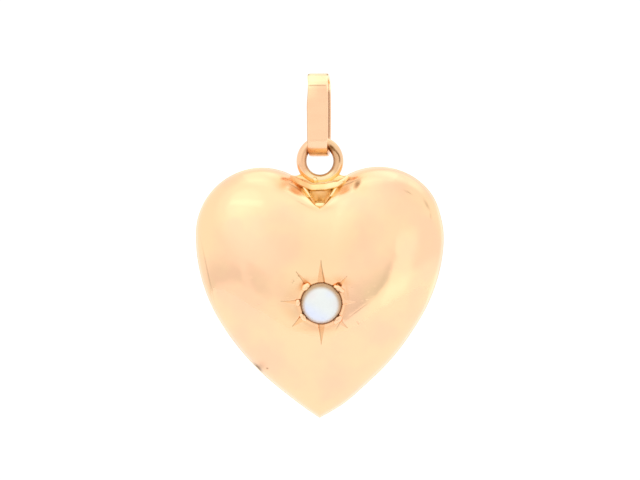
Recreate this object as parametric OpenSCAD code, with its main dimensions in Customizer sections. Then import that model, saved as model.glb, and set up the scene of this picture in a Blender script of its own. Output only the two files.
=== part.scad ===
// A puffed heart pendant of gold, with a pearl in a star setting, an eye ring and a strap bail.
// Millimetres, +Z up, the face towards -Y. The origin is the inside of the bail's top bend,
// where a chain passes.

/* [Heart] */
// Width of the heart across its two lobes
heart_w = 22.1; // [20:0.1:24]
// Height of the heart from the tops of the lobes to the tip
heart_h = 22.25; // [21.5:0.05:23.5]
// Depth of the puffed heart from front to back
heart_d = 8.4; // [7:0.1:10]
// Thickness of the gold sheet
wall = 0.35; // [0.25:0.05:0.5]
// Radius of the round outline of each lobe
lobe_r = 5.8; // [5.4:0.05:6]
// Fullness of the dome: a larger value gives steeper sides and a flatter face
fullness = 2.4; // [2:0.1:3.2]

/* [Pearl and star setting] */
// Diameter of the pearl
pearl_d = 3.65; // [3:0.05:4]
// Height of the pearl's centre above the tip of the heart
pearl_up = 10.2; // [9.5:0.1:11]
// How far the pearl sits to the side of the heart's middle line
pearl_side = 0.15; // [-0.4:0.05:0.4]
// How deep the pearl's centre lies below the face of the heart
pearl_sink = 0.5; // [0.3:0.05:1]
// Half width of an engraved ray for each millimetre of its depth
ray_slope = 1.1; // [1:0.05:1.6]

/* [Eye ring and saddle] */
// Radius of the eye ring, to the middle of its wire
eye_r = 1.64; // [1.6:0.02:1.8]
// Radius of the eye ring's wire
eye_wire_r = 0.42; // [0.3:0.01:0.43]
// Height of the eye ring's centre above the tops of the lobes
eye_up = 0.55; // [0.3:0.05:0.8]
// Half of the saddle's depth from front to back, at its middle
saddle_half_d = 1.9; // [1.7:0.1:2.2]

/* [Bail] */
// Height of the bail over its outside
bail_h = 7.43; // [6.5:0.05:9]
// Width of the strap at its middle
bail_w = 1.87; // [1.8:0.01:1.9]
// Width of the strap at its top and bottom bends
bail_end_w = 1.75; // [1.5:0.01:1.8]
// Thickness of the strap
bail_t = 0.38; // [0.3:0.02:0.5]
// Inner radius of the strap's bends
bail_bend_r = 1.1; // [1.05:0.05:1.3]
// Turn of the hanging bail about the upright, in degrees, which shows its +X side
bail_turn = 4; // [0:1:5]

/* [Hidden] */
$fn = 72;
gold = [0.96, 0.77, 0.5];
solder_gold = [0.97, 0.84, 0.5];
nacre = [0.93, 0.94, 0.95];

// Heights, worked out downwards from the origin
seat_gap = 0.07;
strap_half_low = bail_end_w / 2;
bail_floor_z = -(bail_h - 2 * bail_t);
eye_seat = eye_r - sqrt(pow(eye_r - eye_wire_r, 2) - pow(strap_half_low, 2));
swing_z = bail_floor_z + seat_gap + eye_seat;
eye_z = swing_z - eye_r;
lobe_top_z = eye_z - eye_up;
tip_z = lobe_top_z - heart_h;
pearl_z = tip_z + pearl_up;

// The half outline: a lobe arc, a longer side arc and a flank arc, each tangent to the next,
// as plan points [x, z] about the pearl's height on the middle line
side_r = 0.665 * heart_w;
flank_r = 1.18 * heart_w;
lobe_c = [heart_w / 2 - lobe_r, lobe_top_z - lobe_r - pearl_z];
side_c = [heart_w / 2 - side_r, lobe_c.y];
tip_p = [0, tip_z - pearl_z];
tip_far = norm(tip_p - side_c);
tip_u = (tip_p - side_c) / tip_far;
flank_along = (pow(flank_r - side_r, 2) - pow(flank_r, 2) + pow(tip_far, 2)) / (2 * tip_far);
flank_off = sqrt(pow(flank_r - side_r, 2) - pow(flank_along, 2));
flank_c = side_c + tip_u * flank_along + [tip_u.y, -tip_u.x] * flank_off;
side_end = side_c + (side_c - flank_c) / norm(side_c - flank_c) * side_r;
lobe_from = atan2(lobe_c.y, heart_w / 2);
side_from = atan2(side_end.y, side_end.x);

// Inside the seam the dome's level curves bridge the cleft and cut the tip's corner short
bridge_up = 0.925 * (lobe_top_z - pearl_z);
bridge_soft = 0.6;
tip_cut = 0.87 * (pearl_z - tip_z);
tip_soft = 0.9;
corner_from = 0.7;

// Grid of the dome
sides = 96;
front_rings = 13;
back_rings = 11;
inner_front_rings = 7;
inner_back_rings = 6;

// Setting
pearl_r = pearl_d / 2;
bore_r = pearl_r + 0.075;
grid_hole_r = bore_r - 0.3;
cup_wall = 0.4;
vent_r = 0.35;
face_y = -heart_d / 2;
pearl_y = face_y + pearl_sink;
cup_floor_y = pearl_y + pearl_r + 0.07;
ray_start = 1.5;
ray_top_y = face_y - 0.4;
// Engraved rays: direction in degrees, reach from the pearl's centre, width at the bore
RAY_TURN = 0;
RAY_REACH = 1;
RAY_WIDTH = 2;
rays = [
    [2.5, 3.1, 0.6], [46.5, 3.3, 0.75], [90.5, 3.85, 0.65], [128.5, 3.55, 0.75],
    [177, 3.55, 0.6], [218, 3.3, 0.6], [270, 3.65, 0.55], [317, 3.25, 0.65],
];
// Raised grains: direction in degrees, distance from the pearl's centre, radius
GRAIN_TURN = 0;
GRAIN_OUT = 1;
GRAIN_R = 2;
grain_up = 0.03;
grains = [
    [37, 2.17, 0.34], [133.5, 2.17, 0.34], [179, 2.16, 0.24], [218, 2.13, 0.28], [315, 2.16, 0.32],
];

// Saddle in the cleft: a band whose front view is a V with a level middle, and whose top view
// is a lens. A thin web of solder fills up to the eye ring, and a gusset fills the cleft below.
saddle_x = 2.25;
saddle_level_x = 0.85;
saddle_lens_x = 2.75;
saddle_top_z = eye_z - eye_r - eye_wire_r + 0.1;
saddle_rise = 0.65;
saddle_t = 0.85;
web_x = 2.6;
web_top_z = eye_z - eye_r + 0.8 * eye_wire_r;
web_half_d = 0.25;
gusset_x = 1.65;
gusset_half_d = 1.75;
gusset_low_z = lobe_top_z - 3.85;

// Distance from the plan's centre along direction u to the far side of a circle
function far_hit(u, c, r) = let (b = u * c) b + sqrt(max(0, b * b - c * c + r * r));

// Reach of the heart's outline in direction a, with every arc drawn in by inset
function outline_reach(a, inset) =
    let (
        u = [abs(cos(a)), sin(a)],
        turn = atan2(u.y, u.x)
    )
    turn > lobe_from ? far_hit(u, lobe_c, lobe_r - inset)
    : turn > side_from ? far_hit(u, side_c, side_r - inset)
    : far_hit(u, flank_c, flank_r - inset);

// The same reach with its corners eased: the soft maximum of the outline and a bridge over
// the cleft, and the soft minimum of the outline and a cut across the tip
function eased_reach(a, inset) =
    let (
        edge = outline_reach(a, inset),
        near_cleft = smooth_step((sin(a) - 0.85) / 0.12),
        near_tip = smooth_step((-sin(a) - 0.85) / 0.12)
    )
    near_cleft > 0 ? edge + near_cleft * (soft_max(edge, (bridge_up - inset) / sin(a), bridge_soft) - edge)
    : near_tip > 0 ? edge - near_tip * (edge + soft_max(-edge, (tip_cut - inset) / sin(a), tip_soft))
    : edge;

function soft_max(p, q, soft) = (p + q + sqrt((p - q) * (p - q) + soft * soft)) / 2;
function smooth_step(x) = let (k = min(max(x, 0), 1)) k * k * (3 - 2 * k);

// Point on the dome: direction a, sweep s from 0 at the face over 90 at the seam to 180 at
// the back. Level curves are the eased outline inside and turn into the true one at the seam.
function dome_point(a, s, inset) =
    let (
        level = pow(sin(s), 2 / fullness),
        corner = smooth_step((level - corner_from) / (1 - corner_from)),
        eased = eased_reach(a, inset),
        reach = level * (eased + corner * (outline_reach(a, inset) - eased)),
        high = (heart_d / 2 - inset) * cos(s)
    )
    [reach * cos(a), -high, pearl_z + reach * sin(a)];

// Sweep at which the dome meets the round opening left for the pearl
function opening_sweep(a, inset) =
    let (
        edge = far_hit([cos(a), sin(a)], [pearl_side, 0], grid_hole_r),
        level = edge / eased_reach(a, inset)
    )
    asin(pow(level, fullness / 2));

function ring_points(s_share, inset) = [
    for (k = [0 : sides - 1])
        let (a = 360 * k / sides, from = opening_sweep(a, inset))
        dome_point(a, s_share < 0 ? 90 - 90 * s_share : from + (90 - from) * s_share, inset)
];

// Heart shell as one closed surface: face to seam to back outside, then back to face inside
module shell() {
    outer_front = [for (k = [0 : front_rings]) ring_points(k / front_rings, 0)];
    outer_back = [for (k = [1 : back_rings - 1]) ring_points(-k / back_rings, 0)];
    inner_back = [for (k = [inner_back_rings - 1 : -1 : 1]) ring_points(-k / inner_back_rings, wall)];
    inner_front = [for (k = [inner_front_rings : -1 : 0]) ring_points(k / inner_front_rings, wall)];
    outer = concat(outer_front, outer_back);
    inner = concat(inner_back, inner_front);
    rows = concat(outer, inner);
    outer_rows = len(outer);
    all_rows = len(rows);
    back_pole = all_rows * sides;
    inner_pole = back_pole + 1;
    points = concat(
        [for (row = rows) each row],
        [[0, heart_d / 2, pearl_z], [0, heart_d / 2 - wall, pearl_z]]
    );
    outer_end = (outer_rows - 1) * sides;
    inner_start = outer_rows * sides;
    faces = concat(
        [for (r = [0 : all_rows - 1], k = [0 : sides - 1])
            let (n = (k + 1) % sides, q = (r + 1) % all_rows)
            if (r != outer_rows - 1)
                each [
                    [r * sides + k, q * sides + n, q * sides + k],
                    [r * sides + k, r * sides + n, q * sides + n],
                ]
        ],
        [for (k = [0 : sides - 1]) [outer_end + k, outer_end + (k + 1) % sides, back_pole]],
        [for (k = [0 : sides - 1]) [inner_start + k, inner_pole, inner_start + (k + 1) % sides]]
    );
    color(gold) polyhedron(points = points, faces = faces, convexity = 10);
}

// A round bar along Y from y_a to y_b, centred on the pearl
module pearl_bar(r, y_a, y_b) {
    translate([pearl_side, y_b, pearl_z]) rotate([90, 0, 0]) cylinder(r = r, h = y_b - y_a);
}

// Cup behind the pearl, soldered inside the face
module cup() {
    color(gold) pearl_bar(bore_r + cup_wall, face_y + wall / 2, cup_floor_y + cup_wall);
}

// Bore that takes the pearl, with a small vent through the cup's floor
module pearl_bore() {
    pearl_bar(bore_r, face_y - 1, cup_floor_y);
    pearl_bar(vent_r, face_y - 1, cup_floor_y + cup_wall + 1);
}

// One engraved ray: a wedge that is deepest at the pearl and runs out at its tip
module ray(reach, width) {
    floor_a = face_y + width / 2 / ray_slope;
    floor_b = face_y + heart_d / 2 * (1 - sqrt(1 - pow(reach / (0.9 * heart_w / 2), fullness)));
    half_a = (floor_a - ray_top_y) * ray_slope;
    half_b = (floor_b - ray_top_y) * ray_slope;
    polyhedron(
        points = [
            [ray_start, floor_a, 0], [ray_start, ray_top_y, -half_a], [ray_start, ray_top_y, half_a],
            [reach, floor_b, 0], [reach, ray_top_y, -half_b], [reach, ray_top_y, half_b],
        ],
        faces = [[0, 1, 2], [3, 5, 4], [0, 3, 4, 1], [0, 2, 5, 3], [1, 4, 5, 2]]
    );
}

module star_rays() {
    for (row = rays)
        translate([pearl_side, 0, pearl_z])
            rotate([0, -row[RAY_TURN], 0])
                ray(row[RAY_REACH], row[RAY_WIDTH]);
}

// Grains of gold raised over the pearl's edge
module setting_grains() {
    color(gold)
        for (row = grains)
            translate([
                pearl_side + row[GRAIN_OUT] * cos(row[GRAIN_TURN]),
                face_y - grain_up,
                pearl_z + row[GRAIN_OUT] * sin(row[GRAIN_TURN])
            ])
                sphere(r = row[GRAIN_R], $fn = 32);
}

// A bar with the front view given by points, reaching half_d to the front and the back
module front_bar(points, half_d) {
    translate([0, half_d, 0]) rotate([90, 0, 0])
        linear_extrude(height = 2 * half_d) polygon(points);
}

// Upright prism whose top view is a lens: two arcs that meet at x = -half_x and half_x
module lens_post(half_x, half_y) {
    lens_r = (half_x * half_x + half_y * half_y) / (2 * half_y);
    translate([0, 0, tip_z]) linear_extrude(height = -tip_z)
        intersection() {
            translate([0, lens_r - half_y]) circle(r = lens_r);
            translate([0, half_y - lens_r]) circle(r = lens_r);
        }
}

// Saddle of solder that bridges the cleft and carries the eye ring, with its web and gusset
module saddle() {
    end_z = saddle_top_z + saddle_rise;
    under_z = saddle_top_z - saddle_t;
    color(solder_gold) {
        intersection() {
            front_bar([
                [-saddle_x, end_z], [-saddle_level_x, saddle_top_z],
                [saddle_level_x, saddle_top_z], [saddle_x, end_z],
                [saddle_x, end_z - saddle_t], [saddle_level_x, under_z],
                [-saddle_level_x, under_z], [-saddle_x, end_z - saddle_t],
            ], 2 * saddle_half_d);
            lens_post(saddle_lens_x, saddle_half_d);
        }
        front_bar([
            [-web_x, web_top_z], [web_x, web_top_z], [web_x, web_top_z - saddle_t / 2],
            [0, under_z + saddle_t / 4], [-web_x, web_top_z - saddle_t / 2],
        ], web_half_d);
        intersection() {
            front_bar([
                [-gusset_x, under_z + saddle_t / 2], [gusset_x, under_z + saddle_t / 2],
                [0, gusset_low_z],
            ], 2 * gusset_half_d);
            lens_post(saddle_lens_x, gusset_half_d);
        }
    }
}

// Eye ring, face-on, soldered into the saddle
module eye_ring() {
    color(gold)
        translate([0, 0, eye_z]) rotate([90, 0, 0])
            rotate_extrude() translate([eye_r, 0]) circle(r = eye_wire_r, $fn = 32);
}

// The soldered gold heart
module heart() {
    difference() {
        union() {
            shell();
            cup();
            saddle();
            eye_ring();
        }
        color(gold) star_rays();
        color(gold) pearl_bore();
    }
    setting_grains();
}

// The pearl in its bore
module pearl() {
    color(nacre) translate([pearl_side, pearl_y, pearl_z]) sphere(r = pearl_r);
}

// Long round-ended outline of the folded strap, seen from its side
module strap_loop(r) {
    hull_low_z = bail_floor_z + bail_bend_r;
    translate([0, hull_low_z]) circle(r = r);
    translate([0, -bail_bend_r]) circle(r = r);
    translate([-r, hull_low_z]) square([2 * r, -bail_bend_r - hull_low_z]);
}

// The strap folded into a loop, a little wider at its middle than at its bends
module bail() {
    bow = (bail_w - bail_end_w) / 2;
    half_h = bail_h / 2;
    bow_r = (half_h * half_h + bow * bow) / (2 * bow);
    color(gold)
        rotate([0, 0, -bail_turn])
            intersection() {
                translate([-bail_w, 0, 0]) rotate([90, 0, 90])
                    linear_extrude(height = 2 * bail_w)
                        difference() {
                            strap_loop(bail_bend_r + bail_t);
                            strap_loop(bail_bend_r);
                        }
                translate([0, 2 * bail_bend_r, 0]) rotate([90, 0, 0])
                    linear_extrude(height = 4 * bail_bend_r)
                        intersection() {
                            translate([bail_w / 2 - bow_r, bail_t - half_h]) circle(r = bow_r, $fn = 720);
                            translate([bow_r - bail_w / 2, bail_t - half_h]) circle(r = bow_r, $fn = 720);
                            translate([-bail_w, bail_floor_z - 2 * bail_t])
                                square([2 * bail_w, bail_h + 2 * bail_t]);
                        }
            }
}

heart();
pearl();
bail();
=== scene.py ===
import logging
import math
from dataclasses import dataclass, field
from enum import Enum

import bpy
import numpy as np
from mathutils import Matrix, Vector


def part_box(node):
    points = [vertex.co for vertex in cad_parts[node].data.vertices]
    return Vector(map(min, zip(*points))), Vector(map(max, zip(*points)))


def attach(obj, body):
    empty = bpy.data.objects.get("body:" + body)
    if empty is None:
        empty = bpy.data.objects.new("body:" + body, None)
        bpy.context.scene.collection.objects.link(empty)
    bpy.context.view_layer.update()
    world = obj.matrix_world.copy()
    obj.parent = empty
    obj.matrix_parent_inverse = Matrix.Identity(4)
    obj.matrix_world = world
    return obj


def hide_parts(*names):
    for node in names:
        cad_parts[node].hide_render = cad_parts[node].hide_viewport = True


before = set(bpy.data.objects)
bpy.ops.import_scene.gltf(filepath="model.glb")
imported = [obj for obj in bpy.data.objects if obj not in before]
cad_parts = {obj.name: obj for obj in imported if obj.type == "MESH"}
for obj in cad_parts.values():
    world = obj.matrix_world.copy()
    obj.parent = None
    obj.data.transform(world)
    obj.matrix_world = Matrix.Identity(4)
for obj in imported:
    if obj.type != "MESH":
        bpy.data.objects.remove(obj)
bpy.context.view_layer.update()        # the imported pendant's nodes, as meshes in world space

MM = 0.001
LOG = logging.getLogger("pendant")
Pair = tuple[float, float]
Triple = tuple[float, float, float]


class Body(Enum):
    """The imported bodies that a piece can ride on."""

    HEART = "heart"
    BAIL = "bail"


class Slot(Enum):
    """The record's material slots."""

    HEART_GOLD = "heart_gold"
    PEARL = "pearl"
    BAIL_GOLD = "bail_gold"


def smooth_step(x: np.ndarray) -> np.ndarray:
    """A rise from 0 to 1 with level ends: k * k * (3 - 2 * k), where k is x kept within 0 and 1."""
    k = np.clip(x, 0.0, 1.0)
    return k * k * (3.0 - 2.0 * k)


def soft_max(p: np.ndarray, q: np.ndarray, soft: float) -> np.ndarray:
    """The larger of p and q, rounded where they cross: half of p + q + sqrt((p - q)^2 + soft^2)."""
    return (p + q + np.sqrt((p - q) ** 2 + soft * soft)) / 2.0


def bell(distance: np.ndarray, width: float | np.ndarray) -> np.ndarray:
    """A smooth bump of height 1: exp(-(distance / width)^2)."""
    return np.exp(-((distance / width) ** 2))


def wrapped(angle: np.ndarray) -> np.ndarray:
    """An angle in radians brought within half a turn of 0."""
    return np.angle(np.exp(1j * np.asarray(angle)))


def power(x: np.ndarray, exponent: float) -> np.ndarray:
    """x raised to a power with its sign kept, for superellipses."""
    return np.sign(x) * np.abs(x) ** exponent


def turned(count: int) -> np.ndarray:
    """Angles that go once round, in radians, without repeating the first."""
    return np.arange(count) * 2.0 * math.pi / count


def far_hit(ux: np.ndarray, uz: np.ndarray, centre: Pair, radius: float) -> np.ndarray:
    """Distance from the plan's centre along a direction to the far side of a circle.

    The formula: with b the direction times the circle's centre, the distance is
    b + sqrt(b^2 - |centre|^2 + radius^2).

    Args:
        ux: First part of the unit direction.
        uz: Second part of the unit direction.
        centre: The circle's centre.
        radius: The circle's radius.

    Returns:
        The distance, one for each direction.
    """
    b = ux * centre[0] + uz * centre[1]
    square = b * b - centre[0] ** 2 - centre[1] ** 2 + radius * radius
    return b + np.sqrt(np.maximum(0.0, square))


@dataclass(frozen=True)
class Ramp:
    """An amount that comes in smoothly on the way from one place to another.

    Attributes:
        start: Where it leaves 0.
        full: Where it is full, on either side of start.
        most: The full amount.
    """

    start: float
    full: float
    most: float = 1.0

    def at(self, x: np.ndarray) -> np.ndarray:
        """The amount at x: most times the smooth step of the share of the way."""
        return self.most * smooth_step((x - self.start) / (self.full - self.start))


@dataclass(frozen=True)
class Hump:
    """An amount that is greatest at one place and fades as a bell to both sides of it.

    Attributes:
        place: The place.
        wide: How far from there it has faded to a little over a third.
        most: The amount there.
    """

    place: float
    wide: float
    most: float = 1.0

    def at(self, x: np.ndarray) -> np.ndarray:
        """The amount at x."""
        return self.most * bell(x - self.place, self.wide)


@dataclass(frozen=True)
class Patch:
    """An amount that is greatest at one point and fades as a bell all round it.

    Attributes:
        x: The point.
        z: The point.
        wide: How far from there it has faded to a little over a third.
        most: The amount there.
    """

    x: float
    z: float
    wide: float
    most: float

    def at(self, x: np.ndarray, z: np.ndarray) -> np.ndarray:
        """The amount at the points x, z."""
        return self.most * bell(np.hypot(x - self.x, z - self.z), self.wide)


@dataclass(frozen=True)
class Arc:
    """An amount that is greatest in one direction and fades as a bell to both sides of it.

    Attributes:
        turn: The direction in radians.
        wide: Where it has faded to a little over a third, in radians from there.
        most: The amount in the middle.
    """

    turn: float
    wide: float
    most: float = 1.0

    def at(self, angle: np.ndarray) -> np.ndarray:
        """The amount at an angle."""
        return self.most * bell(wrapped(angle - self.turn), self.wide)


@dataclass(frozen=True)
class Wave:
    """One soft wave of hand work: high * sin(by_x * x + by_z * z + start).

    Attributes:
        high: Its height.
        by_x: Radians for each unit of x.
        by_z: Radians for each unit of z.
        start: Radians at the origin.
    """

    high: float
    by_x: float
    by_z: float = 0.0
    start: float = 0.0

    def at(self, x: np.ndarray, z: np.ndarray | float = 0.0) -> np.ndarray:
        """The wave's height at the points x, z."""
        return self.high * np.sin(self.by_x * x + self.by_z * z + self.start)


def wavy(parts: tuple[Wave, ...], x: np.ndarray, z: np.ndarray | float = 0.0) -> np.ndarray:
    """The sum of some waves at the points x, z."""
    return sum(part.at(x, z) for part in parts)


def closed_faces(
    points: np.ndarray, row_loop: bool, first_pole: Triple | None, last_pole: Triple | None
) -> tuple[np.ndarray, np.ndarray, np.ndarray]:
    """The faces of a grid of points whose columns go round.

    Each cell of the grid is a four-sided face, and a pole closes an end row with a fan of
    triangles. The faces are turned outwards, which the sign of the enclosed volume tells.

    Args:
        points: Rows by columns by 3.
        row_loop: Whether the last row joins the first.
        first_pole: Point that closes the first row.
        last_pole: Point that closes the last row.

    Returns:
        The points in one list that ends with the poles, the four-sided faces and the triangles.
    """
    rows, cols = points.shape[:2]
    grid = np.arange(rows * cols).reshape(rows, cols)
    lower = grid if row_loop else grid[:-1]
    upper = np.roll(grid, -1, 0) if row_loop else grid[1:]
    quads = np.stack([lower, np.roll(lower, -1, 1), np.roll(upper, -1, 1), upper], -1)
    quads = quads.reshape(-1, 4)
    coords = points.reshape(-1, 3)
    fans = [np.zeros((0, 3), int)]
    for pole, edge, flip in ((first_pole, grid[0], True), (last_pole, grid[-1], False)):
        if pole is None:
            continue
        tip = np.full(cols, len(coords))
        coords = np.vstack([coords, pole])
        ahead = np.roll(edge, -1)
        fans.append(np.stack([ahead, edge, tip] if flip else [edge, ahead, tip], -1))
    tris = np.vstack(fans)
    parts = np.vstack([quads[:, [0, 1, 2]], quads[:, [0, 2, 3]], tris])
    a, b, c = (coords[parts[:, k]] for k in range(3))
    if np.einsum("ij,ij->", a, np.cross(b, c)) < 0.0:
        quads, tris = quads[:, ::-1], tris[:, ::-1]
    return coords, quads, tris


def surface(
    name: str,
    points: np.ndarray,
    marks: dict[str, np.ndarray | float],
    row_loop: bool = False,
    first_pole: Triple | None = None,
    last_pole: Triple | None = None,
) -> bpy.types.Object:
    """Makes a closed smooth mesh from a grid of points whose columns go round.

    Args:
        name: Name of the piece.
        points: Rows by columns by 3, in millimetres.
        marks: Numbers for the grid's points, kept as attributes of the mesh.
        row_loop: Whether the last row joins the first.
        first_pole: Point that closes the first row.
        last_pole: Point that closes the last row.

    Returns:
        The new object, at the origin.
    """
    coords, quads, tris = closed_faces(points, row_loop, first_pole, last_pole)
    mesh = bpy.data.meshes.new(name)
    mesh.vertices.add(len(coords))
    mesh.vertices.foreach_set("co", (coords * MM).astype(np.float32).ravel())
    mesh.loops.add(quads.size + tris.size)
    corners = np.concatenate([quads.ravel(), tris.ravel()])
    mesh.loops.foreach_set("vertex_index", corners.astype(np.int32))
    mesh.polygons.add(len(quads) + len(tris))
    starts = np.concatenate([np.arange(len(quads)) * 4, quads.size + np.arange(len(tris)) * 3])
    mesh.polygons.foreach_set("loop_start", starts.astype(np.int32))
    mesh.polygons.foreach_set("use_smooth", np.ones(len(starts), bool))
    mesh.update(calc_edges=True)
    poles = np.zeros(len(coords) - points.shape[0] * points.shape[1])
    for label, values in marks.items():
        layer = mesh.attributes.new(label, "FLOAT", "POINT")
        spread = np.broadcast_to(values, points.shape[:2]).ravel()
        layer.data.foreach_set("value", np.concatenate([spread, poles]).astype(np.float32))
    piece = bpy.data.objects.new(name, mesh)
    bpy.context.scene.collection.objects.link(piece)
    return piece


class Graph:
    """A small helper that adds nodes to a material or a world and joins them."""

    def __init__(self, tree: bpy.types.NodeTree) -> None:
        """Keeps the tree and clears it."""
        self.tree = tree
        tree.nodes.clear()

    def add(self, kind: str, values: dict | None = None, **settings: object) -> bpy.types.Node:
        """Adds one node.

        Args:
            kind: Blender's type name of the node.
            values: Input name or number to a value, or to an output socket to join.
            settings: Properties of the node.

        Returns:
            The node.
        """
        node = self.tree.nodes.new(kind)
        for key, value in settings.items():
            setattr(node, key, value)
        for key, value in (values or {}).items():
            if isinstance(value, bpy.types.NodeSocket):
                self.tree.links.new(value, node.inputs[key])
            else:
                node.inputs[key].default_value = value
        return node

    def attribute(self, name: str) -> bpy.types.NodeSocket:
        """Adds an Attribute node for one of the mesh's numbers and returns its factor."""
        return self.add("ShaderNodeAttribute", attribute_name=name).outputs["Fac"]

    def mathed(
        self, operation: str, first: object, second: object = 0.0, clamp: bool = False
    ) -> bpy.types.NodeSocket:
        """Adds a Math node on one or two values or sockets and returns its output."""
        values = {0: first, 1: second}
        return self.add("ShaderNodeMath", values, operation=operation, use_clamp=clamp).outputs[0]

    def ranged(
        self, value: object, low: float, high: float, to_low: float = 0.0, to_high: float = 1.0
    ) -> bpy.types.NodeSocket:
        """Adds a smooth Map Range node and returns its output."""
        values = {0: value, 1: low, 2: high, 3: to_low, 4: to_high}
        return self.add("ShaderNodeMapRange", values, interpolation_type="SMOOTHSTEP").outputs[0]

    def noise(
        self, where: object, scale: float, detail: float = 2.0, rough: float = 0.5
    ) -> bpy.types.NodeSocket:
        """Adds a Noise Texture and returns its factor."""
        values = {"Vector": where, "Scale": scale, "Detail": detail, "Roughness": rough}
        return self.add("ShaderNodeTexNoise", values).outputs[0]

    def bump(
        self, height: object, depth: float, strength: float = 1.0, over: object | None = None
    ) -> bpy.types.NodeSocket:
        """Adds a Bump node, over the normal of another where one is given.

        Args:
            height: Its height, from 0 to 1.
            depth: What a height of 1 stands for, in metres.
            strength: Its strength.
            over: The normal that it is added to.

        Returns:
            The normal.
        """
        values = {"Height": height, "Distance": depth, "Strength": strength}
        if over is not None:
            values["Normal"] = over
        return self.add("ShaderNodeBump", values).outputs[0]

    def toward(self, way: object, aim: Triple, wide: float, core: float) -> bpy.types.NodeSocket:
        """How closely a direction points at an aim.

        Args:
            way: The direction.
            aim: The aim.
            wide: Degrees from the aim at which the share is 0.
            core: Degrees from the aim within which it is 1.

        Returns:
            The share.
        """
        unit = tuple(Vector(aim).normalized())
        dot = self.add("ShaderNodeVectorMath", {0: way, 1: unit}, operation="DOT_PRODUCT")
        low, high = math.cos(math.radians(wide)), math.cos(math.radians(core))
        return self.ranged(dot.outputs["Value"], low, high)

    def window(
        self, value: object, rise_from: float, rise_to: float, fall_from: float, fall_to: float
    ) -> bpy.types.NodeSocket:
        """A share that rises smoothly from 0 to 1, stays there, and falls smoothly back to 0."""
        rise = self.ranged(value, rise_from, rise_to)
        return self.mathed("MULTIPLY", rise, self.ranged(value, fall_from, fall_to, 1.0, 0.0))

    def added(self, total: object, amount: float, *shares: object) -> bpy.types.NodeSocket:
        """Adds an amount, times every share given, to a running total.

        Args:
            total: The total so far.
            amount: The amount.
            shares: The shares.

        Returns:
            The new total.
        """
        part = amount
        for share in shares:
            part = self.mathed("MULTIPLY", share, part)
        return self.mathed("ADD", total, part)

    def mixed(self, share: object, first: object, second: object) -> bpy.types.NodeSocket:
        """Adds a colour Mix node and returns its result."""
        values = {0: share, 6: first, 7: second}
        return self.add("ShaderNodeMix", values, data_type="RGBA", blend_type="MIX").outputs[2]


@dataclass(frozen=True)
class Brushing:
    """One direction of fine polishing lines.

    Attributes:
        turn: Turn of the lines about the depth axis, in radians.
        scale: Scales of their noise along the three axes, large across the lines.
    """

    turn: float
    scale: Triple


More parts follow.
